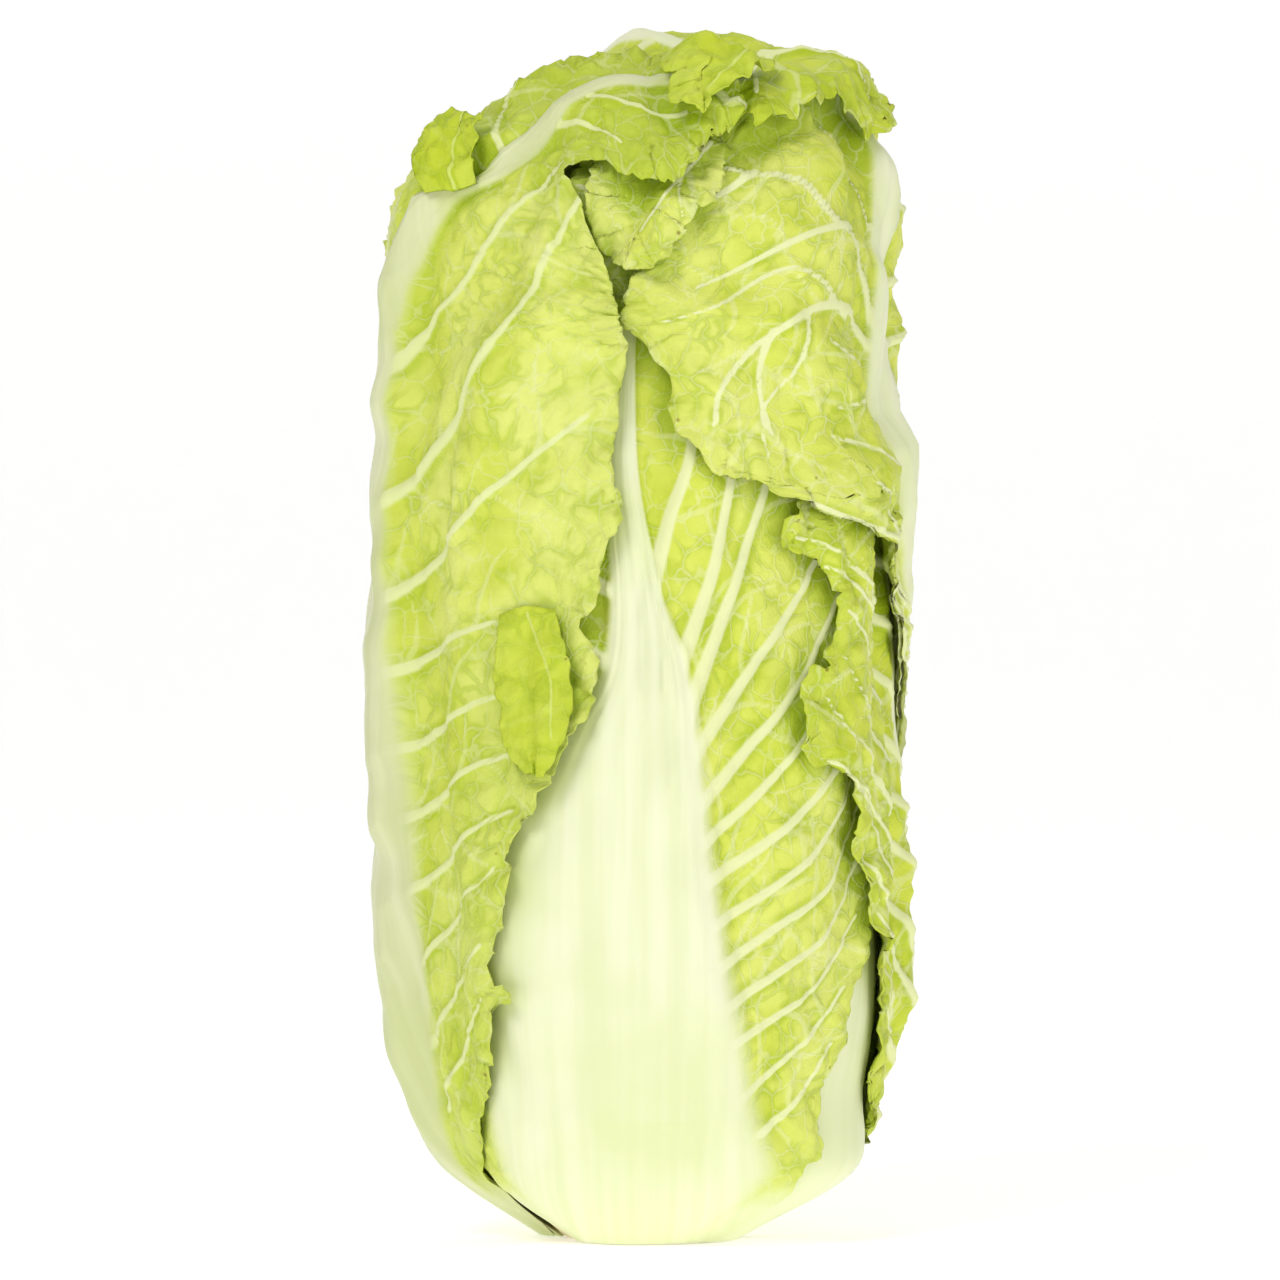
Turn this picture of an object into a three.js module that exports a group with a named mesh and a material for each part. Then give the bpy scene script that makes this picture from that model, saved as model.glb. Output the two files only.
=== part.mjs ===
// A whole head of napa cabbage, standing on its trimmed butt.
// Millimetres, +Z up, show side towards -Y. The origin is the middle of the cut face.
//
// A place on the head is (climb, turn, reach). Climb is the height up the upright side, and past the
// shoulder it goes on over the crown as an arc. Turn is the angle round from the show side, growing to
// the right. Reach is the distance from the head's middle line, or from the crown's centre.
// Every leaf is laid over the ones inside it, from the heart outwards, the way the head grew.

import * as THREE from 'three';

// Driving sizes of the head
const shoulderHeight = 205;
const crownRadius = 68;
const topClimb = shoulderHeight + crownRadius * Math.PI / 2;
const depthRatio = 0.96;
const stemHeight = 13.6;
const stemFit = Math.PI; // the turn at which the stem takes its width from the heart, its narrowest
const layerGap = 0.7;
const bladeThickness = 1.1;

// Laying of the leaves: how far each bridges the steps below it, and the relief of its blade
const drape = 5;
const raiseSlope = 0.22;
const teeth = 1.2;
const veinHeight = 1.7;
const veinSteepness = 0.3; // most that a vein rises for the space between its row and the next
const swellHeight = 1;
const widestBand = 0.9; // share of a half leaf
const waveLength = 42;

// How the rows of a leaf pace along its rib and its edges: the edges run ahead
const ribPace = 1.15;
const edgePace = 0.82;

// Outside of the finished head: [climb, reach]
const headOutline = [
  [0, 28], [5, 34.5], [10, 41], [17, 49], [24, 54], [31, 57.5], [45, 61.2], [60, 63], [90, 64],
  [150, 64], [190, 63.3], [205, 62.6], [219, 63.4], [233, 66.3], [247, 70.6], [260, 73.4], [276, 74.6],
  [312, 75],
];

// How far the packed heart lies inside that outline: [climb, depth]
const wrapDepth = [[0, 11], [10, 12.5], [24, 14], [60, 14.5], [140, 13], [205, 11.5], [250, 9.5], [312, 7.5]];

// Dents of the heart where many leaves lie over it, and swells (below 0) where few do
const degrees = Math.PI / 180;
const dents = [
  { climb: 150, turn: 100, high: 70, wide: 42, depth: 3.5 },
  { climb: 138, turn: 85, high: 24, wide: 45, depth: 2 },
  { climb: 172, turn: 85, high: 14, wide: 45, depth: 2 },
  { climb: 270, turn: 10, high: 20, wide: 48, depth: 8 },
  { climb: 272, turn: 180, high: 22, wide: 50, depth: 9 },
  { climb: 272, turn: -90, high: 20, wide: 45, depth: 10 },
  { climb: 296, turn: -90, high: 16, wide: 60, depth: 5 },
  { climb: 275, turn: 88, high: 9, wide: 45, depth: 5 },
  { climb: 290, turn: 88, high: 16, wide: 45, depth: 1 },
  { climb: 244, turn: 88, high: 18, wide: 45, depth: -4 },
  { climb: 312, turn: 0, high: 14, wide: 900, depth: -2.5 },
  { climb: 60, turn: 85, high: 45, wide: 40, depth: -4 },
  { climb: 15, turn: 76, high: 13, wide: 42, depth: -10 },
  { climb: 16, turn: -80, high: 14, wide: 50, depth: -3 },
  { climb: 130, turn: -90, high: 80, wide: 32, depth: -3 },
  { climb: 208, turn: 0, high: 22, wide: 26, depth: 3 },
  { climb: 90, turn: 180, high: 60, wide: 30, depth: 1.5 },
];

// Value of a table's column at x, along a smooth line through its rows
function follow(rows, x, column = 1) {
  const last = rows.length - 1;
  if (x <= rows[0][0]) return rows[0][column];
  if (x >= rows[last][0]) return rows[last][column];
  let i = 0;
  while (rows[i + 1][0] < x) i += 1;
  const slope = (a, b) => (rows[b][column] - rows[a][column]) / (rows[b][0] - rows[a][0]);
  const bend = (k) => {
    if (k === 0) return slope(0, 1);
    if (k === last) return slope(last - 1, last);
    const before = slope(k - 1, k);
    const after = slope(k, k + 1);
    return before * after > 0 ? 2 * before * after / (before + after) : 0;
  };
  const width = rows[i + 1][0] - rows[i][0];
  const t = (x - rows[i][0]) / width;
  const rise = rows[i + 1][column] - rows[i][column];
  const start = bend(i) * width;
  const end = bend(i + 1) * width;
  return rows[i][column] + t * (start + t * (3 * rise - 2 * start - end + t * (start + end - 2 * rise)));
}

function heartReach(climb, turn) {
  let depth = follow(wrapDepth, climb);
  dents.forEach((dent) => {
    const off = turn / degrees - dent.turn;
    const around = off - 360 * Math.round(off / 360);
    depth += dent.depth * Math.exp(-(((climb - dent.climb) / dent.high) ** 2) - (around / dent.wide) ** 2);
  });
  return follow(headOutline, climb) - depth;
}

function place(climb, turn, reach) {
  const tilt = Math.max(0, (climb - shoulderHeight) / crownRadius);
  const out = reach * Math.cos(tilt);
  const height = tilt > 0 ? shoulderHeight + reach * Math.sin(tilt) : climb;
  return [out * Math.sin(turn), -depthRatio * out * Math.cos(turn), height];
}

// Climb, turn and reach of a point
function measure([x, y, z]) {
  const level = Math.hypot(x, y / depthRatio);
  const turn = Math.atan2(x, -y / depthRatio);
  if (z <= shoulderHeight) return [z, turn, level];
  const up = z - shoulderHeight;
  return [shoulderHeight + crownRadius * Math.atan2(up, level), turn, Math.hypot(level, up)];
}

// The cover is how far everything laid so far stands out of the heart, in cells of climb and turn.
const coverRows = 156;
const coverColumns = 200;
const rowStep = topClimb / coverRows;
const columnStep = 2 * Math.PI / coverColumns;
const cover = new Float64Array(coverRows * coverColumns);

// Cell index, going on down the far side past the top of the crown
function cellAt(row, column) {
  let r = Math.max(0, row);
  let c = column;
  if (r >= coverRows) {
    r = 2 * coverRows - 1 - r;
    c += coverColumns / 2;
  }
  return r * coverColumns + ((c % coverColumns) + coverColumns) % coverColumns;
}

function readCover(field, climb, turn) {
  const y = climb / rowStep - 0.5;
  const x = turn / columnStep - 0.5;
  const row = Math.floor(y);
  const column = Math.floor(x);
  const fy = y - row;
  const fx = x - column;
  const low = field[cellAt(row, column)] * (1 - fx) + field[cellAt(row, column + 1)] * fx;
  const high = field[cellAt(row + 1, column)] * (1 - fx) + field[cellAt(row + 1, column + 1)] * fx;
  return low * (1 - fy) + high * fy;
}

function raiseCover(climb, turn, reach) {
  const cell = cellAt(Math.floor(climb / rowStep), Math.floor(turn / columnStep));
  cover[cell] = Math.max(cover[cell], reach - heartReach(climb, turn));
}

// Number of columns that span a distance on the head at a row
function columnSpan(row, distance) {
  const tilt = Math.max(0, ((row + 0.5) * rowStep - shoulderHeight) / crownRadius);
  const around = columnStep * crownRadius * Math.cos(tilt);
  return Math.min(Math.round(distance / around), coverColumns / 4);
}

// The cover with each cell combined with its neighbours out to a distance
function spreadCover(field, distance, combine) {
  const span = Math.round(distance / rowStep);
  const upright = new Float64Array(field.length);
  const both = new Float64Array(field.length);
  for (let row = 0; row < coverRows; row += 1) {
    for (let column = 0; column < coverColumns; column += 1) {
      const cells = [];
      for (let k = -span; k <= span; k += 1) cells.push(field[cellAt(row + k, column)]);
      upright[cellAt(row, column)] = combine(cells);
    }
  }
  for (let row = 0; row < coverRows; row += 1) {
    const reachOver = columnSpan(row, distance);
    for (let column = 0; column < coverColumns; column += 1) {
      const cells = [];
      for (let k = -reachOver; k <= reachOver; k += 1) cells.push(upright[cellAt(row, column + k)]);
      both[cellAt(row, column)] = combine(cells);
    }
  }
  return both;
}

const highest = (cells) => cells.reduce((a, b) => Math.max(a, b));
const average = (cells) => cells.reduce((a, b) => a + b) / cells.length;

// A leaf has a frame of its own: along its middle from the cut end, and across from that line.
// Past the shoulder the line runs straight on over the top of the crown.
function onHead(leaf, across, along) {
  if (along <= shoulderHeight) {
    return [along, leaf.turn + across / Math.min(crownRadius - 5, follow(headOutline, along))];
  }
  const side = across / (crownRadius - 5);
  const rise = (along - shoulderHeight) / crownRadius;
  const ahead = Math.cos(side) * Math.cos(rise);
  const up = Math.cos(side) * Math.sin(rise);
  const level = Math.hypot(ahead, Math.sin(side));
  const turn = leaf.turn + Math.atan2(Math.sin(side), ahead);
  return [shoulderHeight + crownRadius * Math.atan2(up, level), turn];
}

// A leaf's rib and edges are smooth lines through a few [across, along] points.
const line = (points) => new THREE.SplineCurve(points.map(([x, y]) => new THREE.Vector2(x, y)));

// Corner of a leaf's grid: column runs from the left edge over the rib (0) to the right edge, and v from
// the cut end (0) to the tip (1). The rows rise from the rib to the edge, as the veins do. The inner
// columns follow the rib's band and the outer ones the blade.
function leafCorner(leaf, column, v) {
  const rib = leaf.ribLine.getPointAt(Math.pow(v, ribPace));
  const edge = (column < 0 ? leaf.leftLine : leaf.rightLine).getPointAt(Math.pow(v, edgePace));
  const [bandCells, bladeCells] = leaf.cells;
  const step = Math.abs(column);
  const width = Math.abs(edge.x - rib.x);
  const halfColumn = column < 0 && leaf.band[0].length > 3 ? 3 : 1;
  const band = Math.min(follow(leaf.band, rib.y, halfColumn) / width, widestBand);
  const blade = Math.max(0, step - bandCells) / bladeCells;
  const side = step <= bandCells ? band * step / bandCells : band + (1 - band) * blade;
  const tooth = Math.sign(column) * teeth * side * Math.sin(edge.y * 0.9 + 2 * side) * Math.min(1, 4 * v);
  const across = rib.x + (edge.x - rib.x) * side + tooth;
  const along = rib.y + (edge.y - rib.y) * Math.pow(side, 1.3);
  return { across, along, blade, rounding: Math.sqrt(Math.max(0, 1 - (step / bandCells) ** 2)) };
}

// How far the blade stands off what is under it: its frilled edge and the swells between its veins
function lift(leaf, column, blade, v) {
  const edge = blade ** 3;
  const height = leaf.frill[column < 0 ? 0 : 1];
  const waves = 2 * Math.PI * leaf.leftLine.getLength() / waveLength;
  const frill = height * edge * (0.55 + 0.45 * Math.sin(waves * v + column));
  const swell = swellHeight * blade * (1 - edge) * Math.sin(1.5 * waves * v + 2 * column) ** 2;
  return (frill + swell) * Math.min(1, 3 * v);
}

// Height of the vein along a row, lower where the rows crowd together
function veinRidge(leaf, corner, column, v) {
  const next = leafCorner(leaf, column, Math.min(1, v + 1 / leaf.cells[2]));
  const beside = leafCorner(leaf, column - Math.sign(column), v);
  const [x, y] = [corner.across - beside.across, corner.along - beside.along];
  const turned = (next.across - corner.across) * y - (next.along - corner.along) * x;
  const apart = Math.abs(turned) / Math.hypot(x, y);
  return Math.min(veinHeight * Math.sqrt(1 - corner.blade), veinSteepness * apart);
}

// Both faces of a leaf as grids of corners, split into triangles alike, and joined round the rim
function leafGeometry(leaf) {
  const [bandCells, bladeCells, along] = leaf.cells;
  const half = bandCells + bladeCells;
  const across = 2 * half;
  Object.assign(leaf, { ribLine: line(leaf.rib), leftLine: line(leaf.left), rightLine: line(leaf.right) });
  const wide = spreadCover(cover, drape, highest);
  const blanket = spreadCover(wide, drape, average);
  const corners = [];
  for (let j = 0; j <= along; j += 1) {
    const v = j / along;
    for (let column = -half; column <= half; column += 1) {
      const corner = leafCorner(leaf, column, v);
      const [climb, turn] = onHead(leaf, corner.across, corner.along);
      const bed = heartReach(climb, turn) + readCover(blanket, climb, turn);
      const band = (follow(leaf.band, corner.along, 2) - bladeThickness) * corner.rounding;
      const vein = j % 3 === 1 && corner.blade > 0 ? veinRidge(leaf, corner, column, v) : 0;
      const inner = bed + layerGap + lift(leaf, column, corner.blade, v);
      corners.push({ ...corner, climb, turn, inner, thick: bladeThickness + band + vein });
    }
  }
  settle(corners, across, along);
  layDown(corners, across, along);
  const points = [];
  corners.forEach((c) => points.push(...place(c.climb, c.turn, c.inner + c.thick)));
  corners.forEach((c) => points.push(...place(c.climb, c.turn, c.inner)));
  return gridSolid(points, across, along);
}

// Weights of a cell's four corners at a point of one of its two triangles
function cellWeights(x, y) {
  return x + y < 1 ? [1 - x - y, x, y, 0] : [0, 1 - y, 1 - x, x + y - 1];
}

// Calls back with the weights and head place of points spread over every cell of a leaf's grid
function overCells(corners, across, along, parts, act) {
  for (let j = 0; j < along; j += 1) {
    for (let i = 0; i < across; i += 1) {
      const k = j * (across + 1) + i;
      const cell = [corners[k], corners[k + 1], corners[k + across + 1], corners[k + across + 2]];
      const spots = cell.map((c) => place(c.climb, c.turn, c.inner));
      for (let p = 0; p <= parts; p += 1) {
        for (let q = 0; q <= parts; q += 1) {
          const weights = cellWeights(p / parts, q / parts);
          const mix = (n) => weights.reduce((sum, w, m) => sum + w * spots[m][n], 0);
          act(cell, weights, [mix(0), mix(1), mix(2)]);
        }
      }
    }
  }
}

// Raises the corners of any cell that still dips into what lies under it. A raised corner takes the
// ones around it along, so that no step is left.
function settle(corners, across, along) {
  const near = spreadCover(cover, rowStep, highest);
  const before = corners.map((c) => c.inner);
  for (let pass = 0; pass < 16; pass += 1) {
    corners.forEach((c) => { c.need = 0; });
    overCells(corners, across, along, 5, (cell, weights, spot) => {
      const [climb, turn, reach] = measure(spot);
      const short = heartReach(climb, turn) + readCover(near, climb, turn) + layerGap * 0.6 - reach;
      cell.forEach((c, m) => { c.need = Math.max(c.need, short * weights[m]); });
    });
    corners.forEach((c) => { c.inner += c.need; });
  }
  const raised = corners.map((c, k) => c.inner - before[k]);
  corners.forEach((c, k) => {
    corners.forEach((other, m) => {
      const apart = Math.hypot(c.across - other.across, c.along - other.along);
      c.inner = Math.max(c.inner, before[k] + raised[m] - raiseSlope * apart);
    });
  });
}

// Adds a leaf's outer face to the cover
function layDown(corners, across, along) {
  overCells(corners, across, along, 10, (cell, weights, spot) => {
    const [climb, turn, reach] = measure(spot);
    const thick = weights.reduce((sum, w, m) => sum + w * cell[m].thick, 0);
    raiseCover(climb, turn, reach + thick);
  });
}

function gridSolid(points, across, along) {
  const wide = across + 1;
  const face = wide * (along + 1);
  const triangles = [];
  for (let j = 0; j < along; j += 1) {
    for (let i = 0; i < across; i += 1) {
      const a = j * wide + i;
      const [b, c, d] = [a + 1, a + wide, a + wide + 1];
      triangles.push(a, b, c, b, d, c);
      triangles.push(face + a, face + c, face + b, face + b, face + c, face + d);
    }
  }
  const rim = [];
  for (let i = 0; i < across; i += 1) rim.push(i);
  for (let j = 0; j < along; j += 1) rim.push(j * wide + across);
  for (let i = across; i > 0; i -= 1) rim.push(along * wide + i);
  for (let j = along; j > 0; j -= 1) rim.push(j * wide);
  rim.forEach((a, k) => {
    const b = rim[(k + 1) % rim.length];
    triangles.push(a, face + a, b, b, face + a, face + b);
  });
  return solid(points, triangles);
}

function solid(points, triangles) {
  const geometry = new THREE.BufferGeometry();
  geometry.setAttribute('position', new THREE.Float32BufferAttribute(points, 3));
  geometry.setIndex(triangles);
  geometry.computeVertexNormals();
  return geometry;
}

// The stem: the solid core that the leaves grow from, cut flat below
function stemGeometry() {
  const side = headOutline.filter(([climb]) => climb < stemHeight).map(([climb]) => climb);
  const outline = [[0, 0], ...side.map((climb) => [heartReach(climb, stemFit), climb])];
  outline.push([heartReach(stemHeight, stemFit) - 1.5, stemHeight], [0, stemHeight]);
  const geometry = new THREE.LatheGeometry(outline.map(([x, y]) => new THREE.Vector2(x, y)), 40);
  return geometry.rotateX(Math.PI / 2).scale(1, depthRatio, 1);
}

// The heart: the tightly packed inner leaves, their overlapping edges standing out of it as ridges
function heartGeometry() {
  const heartLeaves = 5;
  const rings = 22;
  const around = 36;
  const foot = stemHeight + 0.5;
  const points = [0, 0, foot];
  for (let j = 0; j < rings; j += 1) {
    const climb = foot + (topClimb - foot) * j / rings;
    for (let i = 0; i < around; i += 1) {
      const turn = 2 * Math.PI * i / around;
      const twist = 0.35 * Math.sin(climb / 30) + climb / 160;
      const ridge = Math.abs(((heartLeaves * turn / (2 * Math.PI) + twist) % 1) - 0.5);
      const swell = Math.min(1, (climb - foot) / 40);
      points.push(...place(climb, turn, heartReach(climb, turn) - 0.3 - swell * 2.4 * (1 - 2 * ridge)));
    }
  }
  points.push(...place(topClimb, 0, heartReach(topClimb, 0) - 1));
  const triangles = [];
  const top = 1 + rings * around;
  for (let i = 0; i < around; i += 1) {
    const next = (i + 1) % around;
    triangles.push(0, 1 + next, 1 + i);
    triangles.push(1 + (rings - 1) * around + i, 1 + (rings - 1) * around + next, top);
    for (let j = 0; j < rings - 1; j += 1) {
      const a = 1 + j * around + i;
      const b = 1 + j * around + next;
      triangles.push(a, b, a + around, b, b + around, a + around);
    }
  }
  return solid(points, triangles);
}

// The leaves, in the order they are laid. The rib's line and the two edges run up from the cut end
// through [across, along] points. Band is the rib's [along, half width, thickness], with the left half's
// width after them where it differs. Cells are the grid's columns on each half of the band and of the
// blade, and its rows.
const leaves = [
  {
    name: 'leaf_inner_back',
    turn: 176 * degrees,
    cells: [2, 5, 36],
    frill: [1.5, 1.5],
    rib: [[0, 22], [0, 205], [4, 300], [6, 340]],
    left: [[-28, 22], [-52, 70], [-62, 140], [-62, 205], [-52, 260], [-40, 305], [-28, 328]],
    right: [[28, 22], [52, 70], [62, 140], [60, 205], [50, 260], [40, 305], [30, 328]],
    band: [[22, 24, 3.6], [80, 16, 3.6], [205, 8, 3], [300, 4, 2.4], [340, 2, 1.4]],
  },
  {
    name: 'leaf_inner_front',
    turn: 2 * degrees,
    cells: [2, 4, 22],
    frill: [1.6, 1.6],
    rib: [[0, 30], [12, 150], [30, 284]],
    left: [[-26, 30], [-44, 80], [-47, 150], [-36, 205], [-20, 240], [-12, 268]],
    right: [[26, 30], [44, 80], [54, 150], [52, 210], [46, 250], [40, 278]],
    band: [[30, 20, 3], [120, 9, 2.8], [284, 2, 1.4]],
  },
  {
    name: 'leaf_back',
    turn: 184 * degrees,
    cells: [2, 5, 30],
    frill: [1.8, 1.8],
    rib: [[0, 0], [2, 205], [3, 276]],
    left: [[-20, 0], [-40, 20], [-55, 60], [-62, 120], [-60, 180], [-50, 225], [-32, 258]],
    right: [[20, 0], [40, 20], [57, 60], [64, 120], [62, 180], [52, 225], [34, 258]],
    band: [[0, 18, 3], [20, 35, 4.6], [60, 27, 5], [130, 14, 4.4], [205, 6, 3.4], [276, 2, 1.4]],
  },
  {
    name: 'leaf_right_under',
    turn: 55 * degrees,
    cells: [2, 3, 18],
    frill: [1.2, 1.2],
    rib: [[4, 0], [6, 60], [2, 150], [0, 232]],
    left: [[-12, 0], [-26, 18], [-42, 55], [-52, 110], [-50, 165], [-30, 215]],
    right: [[19, 0], [36, 18], [48, 55], [55, 110], [52, 165], [32, 215]],
    band: [[0, 15, 3], [18, 29, 4.4], [60, 23, 4.8], [130, 12, 4], [232, 2, 1.4]],
  },
  {
    name: 'leaf_front',
    turn: 0,
    cells: [3, 5, 34],
    frill: [1.2, 1.5],
    rib: [[-2, 0], [-3, 60], [-1, 104], [2, 131], [1, 150], [-3, 175], [-3, 200], [-2, 218]],
    left: [[-26, 0], [-48, 12], [-58, 32], [-65, 58], [-70, 90], [-73, 120], [-71, 155], [-58, 188],
      [-34, 208]],
    right: [[19, 0], [37, 10], [44, 19], [50, 31], [58, 44], [61, 58], [67, 69], [74, 100], [77, 130],
      [74, 165], [60, 192], [40, 208]],
    band: [[0, 22, 3.2, 25], [15, 40, 5, 45], [30, 36, 5.6, 46], [56, 29, 6.4, 40], [85, 22.5, 6.4, 32],
      [104, 18.5, 6.2, 22], [116, 15.5, 5.8, 16], [131, 10.5, 5.2, 8.5], [149, 4.5, 4.2, 4],
      [175, 3.2, 3, 2.6], [200, 2.2, 2.2, 2], [218, 1.5, 1.6, 1.5]],
  },
  {
    name: 'leaf_back_right',
    turn: 142 * degrees,
    cells: [2, 6, 38],
    frill: [2.4, 1.6],
    rib: [[0, 0], [3, 205], [5, 302]],
    left: [[-18, 0], [-36, 18], [-56, 60], [-64, 120], [-63, 180], [-60, 222], [-54, 255], [-38, 288]],
    right: [[18, 0], [36, 18], [56, 60], [64, 120], [62, 180], [54, 225], [40, 262], [26, 286]],
    band: [[0, 16, 3.2], [18, 32, 5], [60, 25, 5.4], [130, 14, 4.8], [205, 7, 3.6], [302, 2, 1.4]],
  },
  {
    name: 'leaf_back_left',
    turn: -125 * degrees,
    cells: [2, 6, 44],
    frill: [1.8, 1.4],
    rib: [[0, 0], [0, 130], [0, 205], [2, 260], [4, 312], [8, 358]],
    left: [[-16, 0], [-34, 18], [-54, 58], [-63, 115], [-62, 170], [-57, 215], [-47, 260], [-38, 305],
      [-26, 344]],
    right: [[16, 0], [34, 18], [54, 58], [62, 115], [62, 170], [58, 215], [52, 260], [46, 305], [36, 344]],
    band: [[0, 15, 3.2], [18, 31, 5], [60, 25, 5.4], [130, 14, 4.8], [205, 7, 4], [300, 4.5, 3.4],
      [358, 2, 1.6]],
  },
  {
    name: 'leaf_right_lower',
    turn: 92 * degrees,
    cells: [2, 5, 30],
    frill: [1.6, 1.2],
    rib: [[16, 0], [20, 20], [14, 60], [8, 110], [0, 150], [-10, 182]],
    left: [[8, 0], [6, 12], [0, 23], [-18, 34], [-23, 50], [-36, 73], [-45, 94], [-51, 106], [-61, 116],
      [-61, 130], [-52, 146], [-55, 156], [-66, 162], [-58, 172], [-40, 178]],
    right: [[26, 0], [48, 18], [60, 42], [65, 75], [66, 115], [58, 150], [40, 174], [14, 186]],
    band: [[0, 9, 3], [18, 16, 3.8], [60, 13, 4], [110, 9, 3.6], [182, 2, 1.5]],
  },
  {
    name: 'leaf_right_upper',
    turn: 50 * degrees,
    cells: [3, 5, 40],
    frill: [1.8, 1.8],
    rib: [[51, 9], [60, 15], [74, 32], [81, 60], [78, 100], [64, 132], [46, 158], [34, 184], [28, 207],
      [27, 234], [29, 255], [26, 278]],
    left: [[40, 9], [48, 16], [60, 32], [66, 60], [65, 100], [57, 124], [42, 140], [27, 149], [12, 165],
      [-3, 173], [-16, 172], [-32, 175], [-41, 179], [-47, 188], [-54, 204], [-59, 216], [-54, 231],
      [-42, 247], [-24, 264]],
    right: [[62, 9], [73, 16], [90, 32], [102, 62], [106, 100], [99, 140], [87, 175], [77, 205],
      [69, 232], [54, 262]],
    band: [[9, 11, 3], [24, 16, 4], [60, 16, 4.4], [120, 13, 4.6], [170, 9, 4.6], [230, 6, 4],
      [278, 3, 2.4]],
  },
  {
    name: 'leaf_left',
    turn: -77 * degrees,
    cells: [3, 6, 46],
    frill: [2.4, 1.4],
    rib: [[-20, 0], [-14, 12], [-5, 35], [0, 70], [0, 205], [6, 224], [17, 244], [29, 257], [33, 275],
      [33, 292], [37, 307], [46, 318], [50, 327]],
    left: [[-32, 0], [-38, 12], [-48, 36], [-58, 68], [-68, 105], [-72, 140], [-69, 175], [-54, 203],
      [-34, 222], [-20, 240], [-5, 258], [8, 273], [16, 292], [26, 314]],
    right: [[-10, 0], [0, 6], [8, 12], [21, 22], [30, 30], [40, 41], [47, 52], [51, 60], [50, 70], [54, 85],
      [59, 100], [70, 118], [75, 131], [72, 142], [77, 160], [80, 178], [81, 200], [79, 226], [73, 247],
      [60, 263], [50, 270], [56, 281], [66, 292], [64, 305], [57, 316]],
    band: [[0, 9, 3.2, 11], [15, 10.5, 4.8, 18], [33, 13, 5.6, 20], [60, 17, 6, 20], [80, 18.5, 6, 19],
      [126, 15, 5.6, 15], [172, 11.5, 5, 11], [205, 8.5, 4.6, 8.5], [256, 4.6, 3.8, 4.6],
      [300, 3, 2.6, 3], [327, 1.6, 1.6, 1.6]],
  },
];

// Looks of the pieces: pale flesh at the cut, yellow in the heart, green blades outside
const looks = {
  stem: { color: '#f2f0d2', roughness: 0.6, metalness: 0 },
  heart: { color: '#dfe690', roughness: 0.6, metalness: 0 },
  inner: { color: '#d3de74', roughness: 0.55, metalness: 0 },
  outer: { color: '#c6d860', roughness: 0.5, metalness: 0 },
};

function piece(name, geometry, look) {
  const mesh = new THREE.Mesh(geometry, new THREE.MeshStandardMaterial(look));
  mesh.name = name;
  return mesh;
}

const cabbage = new THREE.Group();
cabbage.add(piece('stem', stemGeometry(), looks.stem));
cabbage.add(piece('heart', heartGeometry(), looks.heart));
leaves.forEach((leaf) => {
  const look = leaf.name.includes('inner') ? looks.inner : looks.outer;
  cabbage.add(piece(leaf.name, leafGeometry(leaf), look));
});

export default cabbage;
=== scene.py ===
import math

import bpy
import numpy as np
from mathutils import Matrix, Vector


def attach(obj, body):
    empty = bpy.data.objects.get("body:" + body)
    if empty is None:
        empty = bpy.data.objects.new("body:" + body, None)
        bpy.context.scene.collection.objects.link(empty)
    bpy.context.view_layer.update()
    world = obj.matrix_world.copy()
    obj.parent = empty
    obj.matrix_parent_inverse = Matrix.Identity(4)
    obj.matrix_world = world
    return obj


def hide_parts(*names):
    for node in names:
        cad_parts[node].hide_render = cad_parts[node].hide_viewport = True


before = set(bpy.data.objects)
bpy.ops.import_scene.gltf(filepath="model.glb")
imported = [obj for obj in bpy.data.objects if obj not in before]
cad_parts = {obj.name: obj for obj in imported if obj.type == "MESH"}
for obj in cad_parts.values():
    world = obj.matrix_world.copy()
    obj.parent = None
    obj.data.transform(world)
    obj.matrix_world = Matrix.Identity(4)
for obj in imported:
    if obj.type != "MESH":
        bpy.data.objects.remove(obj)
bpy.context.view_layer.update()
print("frame loaded:", len(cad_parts), "nodes")

# The head's build, in millimetres: a place on it is a climb up the side and over the crown, a turn round
# from the show side, and a reach out from the middle line.
head = {
    "shoulderHeight": 205.0,
    "crownRadius": 68.0,
    "depthRatio": 0.96,
    "outline": [[0, 28], [5, 34.5], [10, 41], [17, 49], [24, 54], [31, 57.5], [45, 61.2], [60, 63],
                [90, 64], [150, 64], [190, 63.3], [205, 62.6], [219, 63.4], [233, 66.3], [247, 70.6],
                [260, 73.4], [276, 74.6], [312, 75]],
    "wrapDepth": [[0, 11], [10, 12.5], [24, 14], [60, 14.5], [140, 13], [205, 11.5], [250, 9.5],
                  [312, 7.5]],
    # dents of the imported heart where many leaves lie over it: climb, turn, their spans, and depth
    "dents": [(150, 100, 70, 42, 3.5), (138, 85, 24, 45, 2), (172, 85, 14, 45, 2), (270, 10, 20, 48, 8),
              (272, 180, 22, 50, 9), (272, -90, 20, 45, 10), (296, -90, 16, 60, 5), (275, 88, 9, 45, 5),
              (290, 88, 16, 45, 1), (244, 88, 18, 45, -4), (312, 0, 14, 900, -2.5), (60, 85, 45, 40, -4),
              (15, 76, 13, 42, -10), (16, -80, 14, 50, -3), (130, -90, 80, 32, -3),
              (208, 0, 22, 26, 3), (90, 180, 60, 30, 1.5)],
    # how the rows of a leaf pace along its rib and its edges, and climb from the rib to the edge
    "ribPace": 1.15,
    "edgePace": 0.82,
    "edgeClimb": 1.3,
    "widestBand": 0.9,  # share of a half leaf
    "layerGap": 0.25,
    "leastGap": 0.15,
    "drape": 3.0,  # how far a leaf bridges the steps below it
    "bladeThickness": 0.8,
    "edgeThinning": 0.35,
    "ribGroove": 0.22,
}
topClimb = head["shoulderHeight"] + head["crownRadius"] * math.pi / 2
metre = 0.001


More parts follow.
